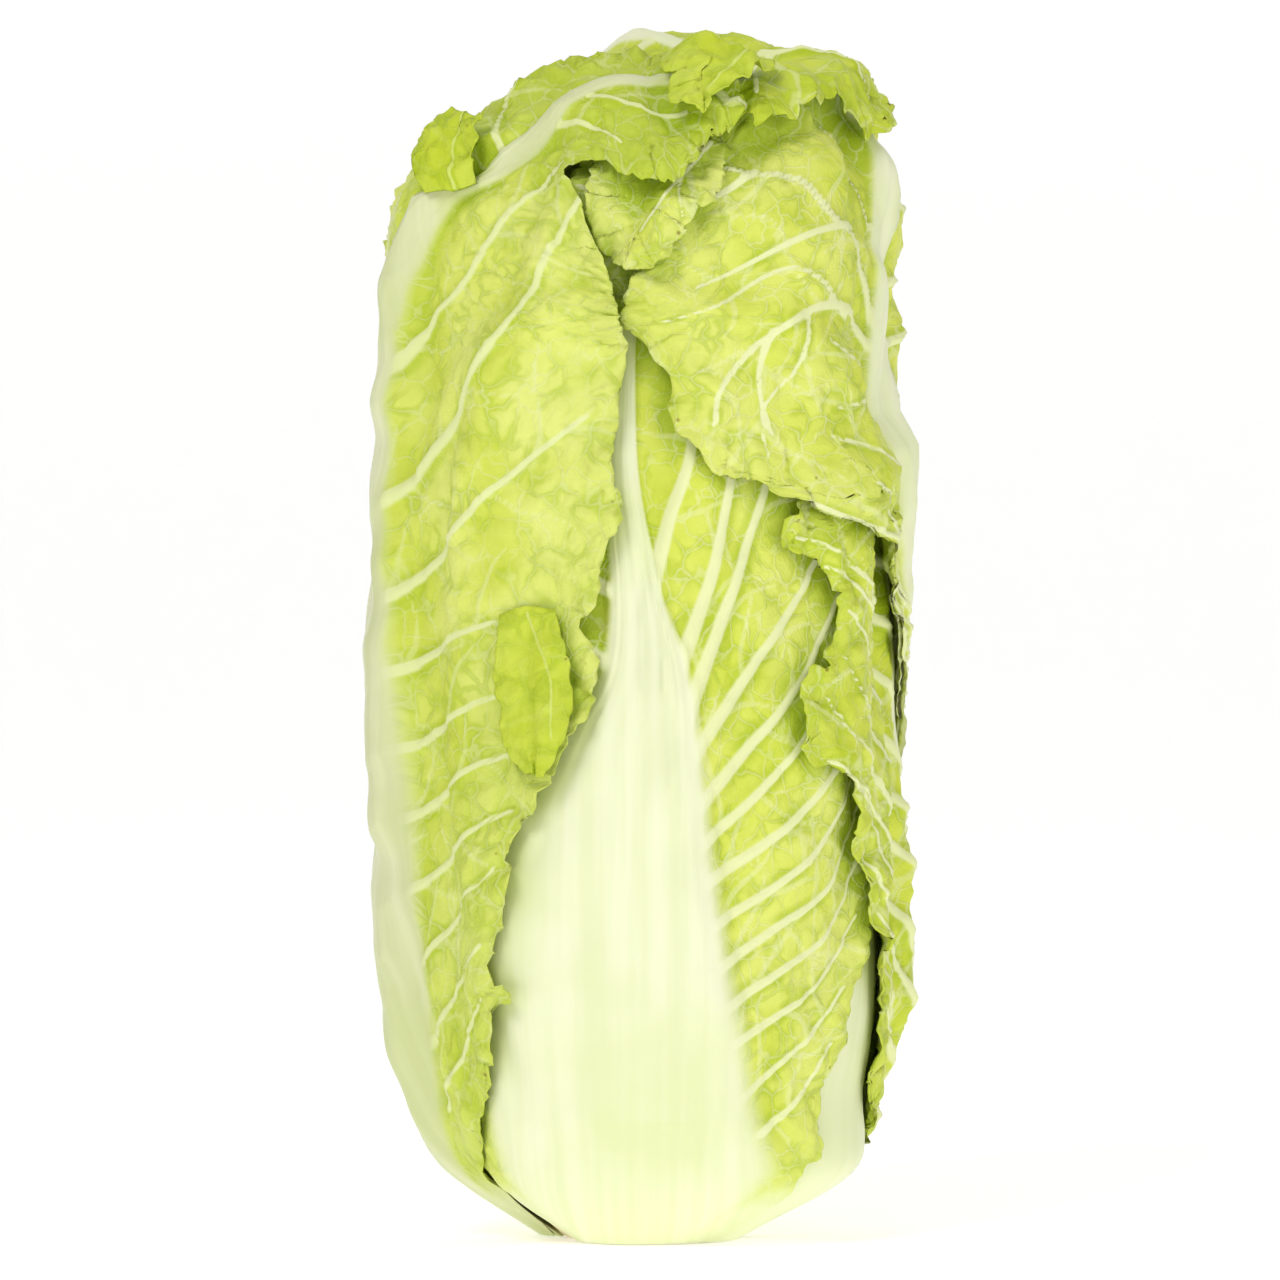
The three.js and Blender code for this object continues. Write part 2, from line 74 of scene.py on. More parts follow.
def follow(rows, x, column=1):
    # smooth line through a table's rows, never overshooting them
    rows = np.asarray(rows, float)
    xs, ys = rows[:, 0], rows[:, column]
    slope = np.diff(ys) / np.diff(xs)
    bend = np.concatenate([slope[:1], np.zeros(len(xs) - 2), slope[-1:]])
    before, after = slope[:-1], slope[1:]
    same = before * after > 0
    bend[1:-1][same] = (2 * before * after)[same] / (before + after)[same]
    x = np.clip(x, xs[0], xs[-1])
    i = np.clip(np.searchsorted(xs, x, side="right") - 1, 0, len(xs) - 2)
    width = xs[i + 1] - xs[i]
    t = (x - xs[i]) / width
    rise = ys[i + 1] - ys[i]
    start, end = bend[i] * width, bend[i + 1] * width
    return ys[i] + t * (start + t * (3 * rise - 2 * start - end + t * (start + end - 2 * rise)))


def smoothLine(points, fractions):
    # even steps along a smooth curve through a few points
    points = np.asarray(points, float)
    ends = np.vstack([points[:1], points, points[-1:]])
    t = np.linspace(0, 1, 17)[:-1, None]
    pieces = []
    for a, b, c, d in zip(ends[:-3], ends[1:-2], ends[2:-1], ends[3:]):
        pieces.append(0.5 * (2 * b + (c - a) * t + (2 * a - 5 * b + 4 * c - d) * t ** 2
                             + (3 * b - a - 3 * c + d) * t ** 3))
    dense = np.vstack(pieces + [points[-1:]])
    length = np.concatenate([[0], np.cumsum(np.hypot(*np.diff(dense, axis=0).T))])
    want = np.asarray(fractions) * length[-1]
    return np.stack([np.interp(want, length, dense[:, k]) for k in (0, 1)], axis=-1)


def fade(x, low, high):
    t = np.clip((x - low) / (high - low), 0, 1)
    return t * t * (3 - 2 * t)


def ripple(x, length, seed):
    # seeded wavy line of mixed wavelengths, between about -1 and 1
    random = np.random.default_rng(seed)
    total = np.zeros_like(np.asarray(x, float))
    for stretch, share in ((1.0, 0.5), (0.62, 0.3), (1.7, 0.35), (0.41, 0.15)):
        phase = random.uniform(0, 2 * math.pi)
        total += share * np.sin(2 * math.pi * np.asarray(x) / (length * stretch) + phase)
    return total


def heartReach(climb, turn):
    depth = follow(head["wrapDepth"], climb)
    for atClimb, atTurn, high, wide, deep in head["dents"]:
        off = (np.degrees(turn) - atTurn + 180) % 360 - 180
        depth = depth + deep * np.exp(-((climb - atClimb) / high) ** 2 - (off / wide) ** 2)
    return follow(head["outline"], climb) - depth


def tiltAt(climb):
    # how far the way out leans up: none on the side, growing over the crown
    return np.maximum(0, (climb - head["shoulderHeight"]) / head["crownRadius"])


def place(climb, turn, reach):
    climb, turn, reach = np.broadcast_arrays(climb, turn, reach)
    tilt = tiltAt(climb)
    out = reach * np.cos(tilt)
    height = np.where(tilt > 0, head["shoulderHeight"] + reach * np.sin(tilt), climb)
    return np.stack([out * np.sin(turn), -head["depthRatio"] * out * np.cos(turn), height], axis=-1)


def measure(points):
    x, y, z = points[..., 0], points[..., 1] / head["depthRatio"], points[..., 2]
    level = np.hypot(x, y)
    up = np.maximum(0, z - head["shoulderHeight"])
    climb = np.where(up > 0, head["shoulderHeight"] + head["crownRadius"] * np.arctan2(up, level), z)
    return climb, np.arctan2(x, -y), np.hypot(level, up)


def onHead(turn, across, along):
    # from a leaf's own across and along to climb and turn; past the shoulder it runs over the crown
    shoulder, radius = head["shoulderHeight"], head["crownRadius"]
    side = across / (radius - 5)
    rise = np.maximum(0, along - shoulder) / radius
    ahead = np.cos(side) * np.cos(rise)
    up = np.cos(side) * np.sin(rise)
    level = np.hypot(ahead, np.sin(side))
    over = along > shoulder
    climb = np.where(over, shoulder + radius * np.arctan2(up, level), along)
    low = across / np.minimum(radius - 5, follow(head["outline"], along))
    return climb, turn + np.where(over, np.arctan2(np.sin(side), ahead), low)


# The cover holds how far all that is laid so far stands out of the heart, in cells of climb and turn.
coverRows, coverColumns = 208, 270
rowStep = topClimb / coverRows
columnStep = 2 * math.pi / coverColumns
cover = np.zeros((coverRows, coverColumns))


def cellsAt(row, column):
    over = row >= coverRows
    row = np.where(over, 2 * coverRows - 1 - row, np.maximum(row, 0))
    column = np.where(over, column + coverColumns // 2, column) % coverColumns
    return row, column


def readCover(field, climb, turn):
    y, x = climb / rowStep - 0.5, turn / columnStep - 0.5
    row, column = np.floor(y).astype(int), np.floor(x).astype(int)
    fy, fx = y - row, x - column
    low = field[cellsAt(row, column)] * (1 - fx) + field[cellsAt(row, column + 1)] * fx
    high = field[cellsAt(row + 1, column)] * (1 - fx) + field[cellsAt(row + 1, column + 1)] * fx
    return low * (1 - fy) + high * fy


def spreadCover(field, distance, combine):
    # each cell combined with its neighbours out to a distance
    rows, columns = np.meshgrid(np.arange(coverRows), np.arange(coverColumns), indexing="ij")
    span = int(round(distance / rowStep))
    upright = combine([field[cellsAt(rows + k, columns)] for k in range(-span, span + 1)])
    around = columnStep * head["crownRadius"] * np.cos(tiltAt((np.arange(coverRows) + 0.5) * rowStep))
    spans = np.minimum(np.round(distance / around).astype(int), coverColumns // 4)
    both = np.empty_like(field)
    for k in np.unique(spans):
        rowsHere = upright[spans == k]
        both[spans == k] = combine([np.roll(rowsHere, shift, axis=1) for shift in range(-k, k + 1)])
    return both


def highest(layers):
    return np.max(layers, axis=0)


def average(layers):
    return np.mean(layers, axis=0)


def layDown(points):
    # adds points of an outer face to the cover
    climb, turn, reach = measure(points)
    row = np.floor(climb / rowStep).astype(int)
    column = np.floor(turn / columnStep).astype(int)
    np.maximum.at(cover, cellsAt(row, column), reach - heartReach(climb, turn))


# Node trees

def link(tree, socket, value):
    if isinstance(value, bpy.types.NodeSocket):
        tree.links.new(value, socket)
    elif value is not None:
        socket.default_value = value


def addNode(tree, kind, settings=None, inputs=None, output=0):
    # one node with its settings and inputs, as a socket to feed the next one
    node = tree.nodes.new(kind)
    for name, value in (settings or {}).items():
        setattr(node, name, value)
    for name, value in (inputs or {}).items():
        link(tree, node.inputs[name], value)
    return node.outputs[output]


def maths(tree, operation, a, b):
    return addNode(tree, "ShaderNodeMath", {"operation": operation}, {0: a, 1: b})


def product(tree, *factors):
    value = factors[0]
    for factor in factors[1:]:
        value = maths(tree, "MULTIPLY", value, factor)
    return value


def total(tree, *parts):
    value = parts[0]
    for part in parts[1:]:
        value = maths(tree, "ADD", value, part)
    return value


def vectorMaths(tree, operation, a, b=None, scale=None, output=0):
    inputs = {0: a, 1: b}
    if scale is not None:
        inputs["Scale"] = scale
    return addNode(tree, "ShaderNodeVectorMath", {"operation": operation}, inputs, output)


def remap(tree, value, low, high, toLow=0.0, toHigh=1.0, smooth=True):
    kind = "SMOOTHSTEP" if smooth else "LINEAR"
    inputs = {"Value": value, "From Min": low, "From Max": high, "To Min": toLow, "To Max": toHigh}
    return addNode(tree, "ShaderNodeMapRange", {"interpolation_type": kind}, inputs)


def mixColor(tree, factor, a, b):
    node = tree.nodes.new("ShaderNodeMix")
    node.data_type = "RGBA"
    link(tree, node.inputs[0], factor)
    link(tree, node.inputs[6], a)
    link(tree, node.inputs[7], b)
    return node.outputs[2]


def srgb(red, green, blue):
    parts = [c / 255 for c in (red, green, blue)]
    return tuple(c / 12.92 if c < 0.04045 else ((c + 0.055) / 1.055) ** 2.4 for c in parts) + (1.0,)


def attribute(tree, name, output):
    return addNode(tree, "ShaderNodeAttribute", {"attribute_name": name}, output=output)


def veinNet(tree, spot, scale):
    # the net of small veins: the blade is blistered between them, so relief and colour both use it
    warp = addNode(tree, "ShaderNodeTexNoise", None, {"Vector": spot, "Scale": 0.11, "Detail": 2.0}, "Color")
    bent = vectorMaths(tree, "ADD", spot, vectorMaths(tree, "SCALE", warp, scale=9.0))
    cells = addNode(tree, "ShaderNodeTexVoronoi", {"feature": "DISTANCE_TO_EDGE"},
                    {"Vector": bent, "Scale": scale}, "Distance")
    return bent, cells


# Relief tree: raises the veins of a leaf and crinkles the blade between them
def reliefTree():
    tree = bpy.data.node_groups.new("leafRelief", "GeometryNodeTree")
    sockets = tree.interface
    sockets.new_socket("Geometry", in_out="INPUT", socket_type="NodeSocketGeometry")
    for name in ("Main Veins", "Fine Veins"):
        sockets.new_socket(name, in_out="INPUT", socket_type="NodeSocketObject")
    for name in ("Main Rise", "Fine Rise", "Swell Height", "Swell Width", "Blister Height", "Blister Size",
                 "Fold Height"):
        sockets.new_socket(name, in_out="INPUT", socket_type="NodeSocketFloat")
    sockets.new_socket("Material", in_out="INPUT", socket_type="NodeSocketMaterial")
    sockets.new_socket("Geometry", in_out="OUTPUT", socket_type="NodeSocketGeometry")
    given = tree.nodes.new("NodeGroupInput").outputs

    def named(name, kind="FLOAT"):
        return addNode(tree, "GeometryNodeInputNamedAttribute", {"data_type": kind}, {"Name": name})

    leafPlace = named("leafPlace", "FLOAT_VECTOR")
    outward = named("outward", "FLOAT_VECTOR")
    crinkle = named("crinkle")
    position = addNode(tree, "GeometryNodeInputPosition")

    def veinField(source, top):
        # how much of a vein is here, its half width, its distance, and how near that is for its width
        points = addNode(tree, "GeometryNodeObjectInfo", None, {"Object": source}, "Geometry")
        nearest = addNode(tree, "GeometryNodeSampleNearest", {"domain": "POINT"},
                          {"Geometry": points, "Sample Position": leafPlace})
        spot = addNode(tree, "GeometryNodeSampleIndex", {"data_type": "FLOAT_VECTOR"},
                       {"Geometry": points, "Value": position, "Index": nearest})
        girth = addNode(tree, "GeometryNodeSampleIndex", {"data_type": "FLOAT"},
                        {"Geometry": points, "Value": named("girth"), "Index": nearest})
        distance = vectorMaths(tree, "DISTANCE", leafPlace, spot, output="Value")
        share = maths(tree, "DIVIDE", distance, girth)
        return remap(tree, share, top, 0.0), girth, distance, remap(tree, share, 4.0, 0.0, smooth=False)

    main, mainGirth, mainOff, mainNear = veinField(given["Main Veins"], 1.35)
    fine, fineGirth, _, fineNear = veinField(given["Fine Veins"], 1.8)
    offBand = maths(tree, "SUBTRACT", 1.0, product(tree, named("band"), 0.85))
    mainHeight = product(tree, main, mainGirth, given["Main Rise"])
    fineHeight = product(tree, fine, fineGirth, given["Fine Rise"], crinkle)
    veinHeight = product(tree, maths(tree, "MAXIMUM", mainHeight, fineHeight), offBand)

    # the blade swells between the main veins, and is blistered between the fine ones
    clear = maths(tree, "SUBTRACT", mainOff, mainGirth)
    swell = product(tree, remap(tree, clear, 0.0, given["Swell Width"]), given["Swell Height"])
    bent, cells = veinNet(tree, leafPlace, maths(tree, "DIVIDE", 1.0, given["Blister Size"]))
    blister = remap(tree, cells, 0.0, 0.4)
    rough = addNode(tree, "ShaderNodeTexNoise", None,
                    {"Vector": leafPlace, "Scale": 0.16, "Detail": 2.0, "Roughness": 0.5})
    lumps = product(tree, blister, remap(tree, rough, 0.3, 0.65, 0.3, 1.0), given["Blister Height"])
    fold = addNode(tree, "ShaderNodeTexNoise", None,
                   {"Vector": bent, "Scale": 0.07, "Detail": 3.0, "Roughness": 0.6, "Distortion": 0.6})
    folds = product(tree, remap(tree, fold, 0.35, 0.7), given["Fold Height"])
    height = total(tree, product(tree, total(tree, swell, lumps, folds), crinkle),
                   product(tree, veinHeight, named("outerSide")))

    moved = addNode(tree, "GeometryNodeSetPosition", None, {
        "Geometry": given["Geometry"],
        "Offset": vectorMaths(tree, "SCALE", outward, scale=product(tree, height, metre))})
    # the fold heights are kept as well, for painted light: the material tints raised folds paler
    kept = {"vein": mainNear, "fineVein": fineNear, "lump": remap(tree, fold, 0.3, 0.7)}
    for name, value in kept.items():
        moved = addNode(tree, "GeometryNodeStoreNamedAttribute", {"domain": "POINT"},
                        {"Geometry": moved, "Name": name, "Value": value})
    smooth = addNode(tree, "GeometryNodeSetShadeSmooth", None, {"Geometry": moved})
    real = addNode(tree, "GeometryNodeRealizeInstances", None, {"Geometry": smooth})
    done = addNode(tree, "GeometryNodeSetMaterial", None,
                   {"Geometry": real, "Material": given["Material"]})
    tree.links.new(done, tree.nodes.new("NodeGroupOutput").inputs["Geometry"])
    return tree


leafRelief = reliefTree()


# Veins of a leaf as points in its own plane, each with the half width of the vein there
veinBuild = {
    "points": 240, "jitter": 1.5, "rootShare": 0.7, "tip": 0.6, "stout": 1.4, "stoutRoot": 7, "thinRoot": 1,
    "branchSpacing": 13.0, "branchLength": (12, 28), "branchTurn": (0.6, 1.1), "branchGirth": 1.25,
    "step": 0.4, "wander": 0.16,
}


def ribSide(leaf, right, v, side):
    # a place on one half of a leaf: v up the leaf, side from the rib out to the edge
    rib = smoothLine(leaf["rib"], np.clip(v, 0, 1) ** head["ribPace"])
    border = smoothLine(leaf["right" if right else "left"], np.clip(v, 0, 1) ** head["edgePace"])
    return rib + (border - rib) * np.stack([side, side ** head["edgeClimb"]], axis=-1)


def walkVein(start, heading, length, random):
    # a branch that wanders off from a point in the leaf's plane
    step, girth, tip = veinBuild["step"], veinBuild["branchGirth"], veinBuild["tip"]
    count = max(int(length / step), 3)
    turns = np.cumsum(random.normal(0, veinBuild["wander"], count)) * 0.35
    turns += 0.3 * np.sin(np.arange(count) * step / 5 + random.uniform(0, 6.3))
    angle = heading + turns
    path = start + np.cumsum(step * np.stack([np.cos(angle), np.sin(angle)], axis=-1), axis=0)
    width = girth + (tip - girth) * np.linspace(0, 1, count)
    return np.column_stack([path, width])


def mainVeins(leaf, random):
    # the veins that leave the rib: some drawn point by point, the rest spaced along it
    t = np.linspace(0, 1, veinBuild["points"])
    paths = []
    for right, spread in ((False, leaf.get("leftVeins")), (True, leaf.get("rightVeins"))):
        if spread is None:
            continue
        first, last, number, reachOut, rise = spread
        for along in np.linspace(first, last, number) + random.normal(0, veinBuild["jitter"], number):
            v0 = (max(along, 1) / leaf["rib"][-1][1]) ** (1 / head["ribPace"])
            rib = smoothLine(leaf["rib"], [v0 ** head["ribPace"]])[0]
            border = smoothLine(leaf["right" if right else "left"], [v0 ** head["edgePace"]])[0]
            share = min(bandWidth(leaf, rib[1:], right)[0] / abs(border[0] - rib[0]), head["widestBand"])
            root = veinBuild["rootShare"] * share
            side = root + (reachOut - root) * t
            sway = 0.006 * ripple(t * 100, 46, random.integers(1 << 30)) * t
            v = v0 + (rise * t ** 1.15) * (1 - v0) + sway
            paths.append((ribSide(leaf, right, np.clip(v, 0, 1), side), leaf["girth"], veinBuild["tip"]))
    for points, start, end in leaf.get("drawn", []):
        # a stout vein starts inside the rib or vein that it leaves
        first, second = np.array(points[0], float), np.array(points[1], float)
        back = veinBuild["stoutRoot" if start > veinBuild["stout"] else "thinRoot"]
        root = first - (second - first) / np.hypot(*(second - first)) * back
        paths.append((smoothLine([root] + points, t), start, end))
    rows = []
    for path, start, end in paths:
        width = end + (start - end) * (1 - t) ** 1.5
        rows.append(np.column_stack([path, width * (0.9 + 0.2 * random.random())]))
    return rows


def fineVeins(mains, random):
    # branches to both sides of the main veins
    rows = []
    for path in mains:
        length = np.concatenate([[0], np.cumsum(np.hypot(*np.diff(path[:, :2], axis=0).T))])
        mark = random.uniform(5, 12)
        hand = 1
        while mark < length[-1] - 4:
            k = min(int(np.searchsorted(length, mark)), len(path) - 3)
            heading = math.atan2(*(path[k + 2, :2] - path[max(k - 2, 0), :2])[::-1])
            turned = heading + hand * random.uniform(*veinBuild["branchTurn"])
            rows.append(walkVein(path[k, :2], turned, random.uniform(*veinBuild["branchLength"]), random))
            mark += veinBuild["branchSpacing"] * random.uniform(0.6, 1.4)
            hand = -hand
    return rows


def addObject(name, data):
    made = bpy.data.objects.new(name, data)
    bpy.context.collection.objects.link(made)
    return made


def pointObject(name, rows, height):
    # loose points carrying their girth, read by the relief tree and then thrown away
    mesh = bpy.data.meshes.new(name)
    mesh.from_pydata([(x, y, height) for x, y, _ in rows], [], [])
    mesh.attributes.new("girth", "FLOAT", "POINT").data.foreach_set("value", rows[:, 2].copy())
    return addObject(name, mesh)


# Grid of a leaf

def bandWidth(leaf, along, right):
    # half width of the rib; a fourth number in a row is the left half where that differs
    return follow(leaf["band"], along, 1 if right or len(leaf["band"][0]) < 4 else 3)


def leafColumns(leaf):
    bandCells, bladeCells, rows = leaf["cells"]
    step = np.concatenate([np.linspace(0, 1, bandCells + 1), 1 + np.linspace(0, 1, bladeCells + 1)[1:]])
    return np.concatenate([-step[:0:-1], step]), rows


def leafGrid(leaf):
    # across, along and the shares of a leaf's grid: columns from left to right, rows from the cut end up
    columns, rows = leafColumns(leaf)
    v = np.linspace(0, 1, rows + 1)
    rib = smoothLine(leaf["rib"], v ** head["ribPace"])[:, None]
    across, along, side, band = (np.zeros((rows + 1, len(columns))) for _ in range(4))
    for hand, name in ((-1, "left"), (1, "right")):
        here = columns <= 0 if hand < 0 else columns >= 0
        step = np.abs(columns[here])[None]
        border = smoothLine(leaf[name], v ** head["edgePace"])[:, None]
        width = np.abs(border[..., 0] - rib[..., 0])
        share = np.minimum(bandWidth(leaf, rib[..., 1], hand > 0) / width, head["widestBand"])
        out = np.where(step <= 1, share * step, share + (1 - share) * (step - 1))
        across[:, here] = rib[..., 0] + (border[..., 0] - rib[..., 0]) * out
        along[:, here] = rib[..., 1] + (border[..., 1] - rib[..., 1]) * out ** head["edgeClimb"]
        side[:, here] = out
        band[:, here] = np.clip(step, 0, 1)
    grid = {"across": across, "along": along, "side": side, "bandStep": band, "v": v[:, None],
            "columns": columns[None]}
    return measureEdge(grid)


def measureEdge(grid):
    # for each corner: its distance to the leaf's free edge, how far round the edge that is, and the way out
    across, along = grid["across"], grid["along"]
    sides = [np.stack([part(across), part(along)], axis=-1) for part in (
        lambda f: f[:, 0], lambda f: f[-1, 1:-1], lambda f: f[::-1, -1])]
    border = np.vstack(sides)
    run = np.concatenate([[0], np.cumsum(np.hypot(*np.diff(border, axis=0).T))])
    even = np.arange(0, run[-1], 1.0)
    border = np.stack([np.interp(even, run, border[:, k]) for k in (0, 1)], axis=-1)
    ahead = np.gradient(border, axis=0)
    kernel = np.ones(7) / 7
    padded = np.pad(ahead, ((3, 3), (0, 0)), mode="edge")
    ahead = np.stack([np.convolve(padded[:, k], kernel, "valid") for k in (0, 1)], axis=-1)
    ahead /= np.linalg.norm(ahead, axis=1, keepdims=True)
    spots = np.stack([across, along], axis=-1).reshape(-1, 2)
    nearest = np.empty(len(spots), int)
    batch = 4096
    for k in range(0, len(spots), batch):
        part = spots[k:k + batch]
        nearest[k:k + batch] = ((part[:, None] - border[None]) ** 2).sum(-1).argmin(1)
    off = spots - border[nearest]
    tangent = ahead[nearest]
    shape = across.shape
    grid["edgeGap"] = np.hypot(*off.T).reshape(shape)
    grid["edgeRun"] = (even[nearest] + (off * tangent).sum(1)).reshape(shape)
    grid["ahead"] = tangent.reshape(*shape, 2)
    grid["out"] = np.stack([-tangent[:, 1], tangent[:, 0]], axis=-1).reshape(*shape, 2)
    return grid


# How far in from a leaf's edge its teeth, waves, ruffles and thinner rim reach, the length of its wide
# sway, and the stretch above the cut end where its rim stops being tucked down
edge = {"teeth": 4.5, "waves": 12, "ruffles": 16, "fineRuffles": 7, "rim": 3, "greenRim": 14,
        "swayLength": 55, "tuckFrom": 25, "tuckTo": 60}


def nearEdge(grid, reach):
    return np.exp(-(grid["edgeGap"] / reach) ** 2)


def shapeEdges(grid, leaf):
    # scalloped teeth in the leaf's plane, and sideways folds of the ruffles
    seed, run = leaf["seed"], grid["edgeRun"]
    tall, spacing = leaf["tooth"]
    height, length = leaf["ruffle"]
    near = nearEdge(grid, edge["teeth"]) * fade(grid["v"], 0.03, 0.12)
    broad = nearEdge(grid, edge["waves"]) * fade(grid["v"], 0.03, 0.15)
    strength = follow(leaf.get("toothRise", [[0, 1], [400, 1]]), grid["along"])
    tooth = np.abs(np.sin(math.pi * run / spacing + 1.4 * ripple(run, 31, seed))) ** 0.75 - 0.55
    push = tall * strength * ((tooth + 0.5 * ripple(run, 9, seed + 5)) * near
                              + 1.1 * ripple(run, 23, seed + 6) * broad)
    slide = height * 0.55 * ripple(run, length * 0.62, seed + 7) * broad
    shift = push[..., None] * grid["out"] + slide[..., None] * grid["ahead"]
    grid["across"] = grid["across"] + shift[..., 0]
    grid["along"] = grid["along"] + shift[..., 1]
    return grid


def raiseBlade(grid, leaf):
    # height of the blade over its bed: sway, ruffles at the edge, and the lifts set for this leaf
    seed = leaf["seed"]
    height, length = leaf["ruffle"]
    run, gap = grid["edgeRun"], grid["edgeGap"]
    broad, near = nearEdge(grid, edge["ruffles"]), nearEdge(grid, edge["fineRuffles"])
    folds = 0.5 + 0.5 * ripple(run + 0.6 * gap, length, seed + 1)
    fine = 0.5 + 0.5 * ripple(run - 0.8 * gap, length * 0.42, seed + 2)
    sway = 0.5 + 0.5 * ripple(run + gap, edge["swayLength"], seed + 3)
    blade = fade(grid["bandStep"] * grid["side"], 0.05, 0.5)
    raised = height * (0.75 * broad * np.clip(folds, 0, 1.3) + 0.5 * near * np.clip(fine, 0, 1.3))
    raised = raised + leaf["sway"] * blade * np.clip(sway, 0, 1.3)
    raised = raised * fade(grid["v"], 0.0, 0.2) * follow(leaf.get("calm", [[0, 1], [400, 1]]), grid["along"])
    for across, along, wide, tall, lift in leaf.get("lifts", []):
        off = ((grid["across"] - across) / wide) ** 2 + ((grid["along"] - along) / tall) ** 2
        raised = raised + lift * np.exp(-off)
    return raised


def finerPoints(points):
    # a grid of points with those halfway between them
    rows = np.repeat(points, 2, axis=0)[:-1].copy()
    rows[1::2] = (points[:-1] + points[1:]) / 2
    both = np.repeat(rows, 2, axis=1)[:, :-1].copy()
    both[:, 1::2] = (rows[:, :-1] + rows[:, 1:]) / 2
    return both.reshape(-1, 3)


def gridFaces(rows, columns):
    # quads of the outer and the inner grid, and of the rim that joins them
    outer = np.arange(rows * columns).reshape(rows, columns)
    inner = outer + rows * columns
    a, b, c, d = outer[:-1, :-1], outer[:-1, 1:], outer[1:, 1:], outer[1:, :-1]
    faces = [np.stack([a, b, c, d], axis=-1).reshape(-1, 4)]
    e, f, g, h = inner[:-1, :-1], inner[:-1, 1:], inner[1:, 1:], inner[1:, :-1]
    faces.append(np.stack([e, h, g, f], axis=-1).reshape(-1, 4))
    rim = np.concatenate([outer[0, :-1], outer[:-1, -1], outer[-1, :0:-1], outer[:0:-1, 0]])
    after = np.roll(rim, -1)
    shift = rows * columns
    faces.append(np.stack([rim, rim + shift, after + shift, after], axis=-1))
    return np.vstack(faces)


def storeAttribute(mesh, name, values):
    vector = values.ndim == 2
    layer = mesh.attributes.new(name, "FLOAT_VECTOR" if vector else "FLOAT", "POINT")
    layer.data.foreach_set("vector" if vector else "value", np.ascontiguousarray(values, np.float32).ravel())


def leafMesh(name, outer, inner, shares):
    rows, columns = outer.shape[:2]
    mesh = bpy.data.meshes.new(name)
    points = np.vstack([outer.reshape(-1, 3), inner.reshape(-1, 3)]) * metre
    faces = gridFaces(rows, columns)
    mesh.vertices.add(len(points))
    mesh.vertices.foreach_set("co", points.ravel())
    mesh.loops.add(faces.size)
    mesh.loops.foreach_set("vertex_index", faces.ravel())
    mesh.polygons.add(len(faces))
    mesh.polygons.foreach_set("loop_start", np.arange(len(faces)) * 4)
    mesh.update(calc_edges=True)
    mesh.validate()
    for key, values in shares.items():
        flat = values.reshape(-1, 3) if values.ndim == 3 else values.ravel()
        storeAttribute(mesh, key, np.concatenate([flat, flat]))
    storeAttribute(mesh, "outerSide", np.repeat([1.0, 0.0], rows * columns))
    return mesh


def setInput(modifier, name, value):
    for item in modifier.node_group.interface.items_tree:
        if item.item_type == "SOCKET" and item.in_out == "INPUT" and item.name == name:
            modifier[item.identifier] = value


def bakeRelief(name, mesh, leaf, material):
    # runs the relief tree on a leaf's mesh and gives the finished object
    random = np.random.default_rng(leaf["seed"])
    mains = mainVeins(leaf, random)
    fines = fineVeins(mains, random)
    helpers = [pointObject(name + "_mains", np.vstack(mains), leaf["seed"]),
               pointObject(name + "_fines", np.vstack(fines), leaf["seed"])]
    rough = addObject(name + "_rough", mesh)
    modifier = rough.modifiers.new("relief", "NODES")
    modifier.node_group = leafRelief
    values = {"Main Veins": helpers[0], "Fine Veins": helpers[1], "Material": material,
              "Blister Size": looks[leaf["finish"]]["netSize"], **leaf.get("relief", bumpyRelief)}
    for key, value in values.items():
        setInput(modifier, key, value)
    finished = bpy.data.meshes.new_from_object(rough.evaluated_get(bpy.context.evaluated_depsgraph_get()))
    finished.name = name
    for helper in [rough] + helpers:
        data = helper.data
        bpy.data.objects.remove(helper)
        bpy.data.meshes.remove(data)
    return addObject(name, finished)


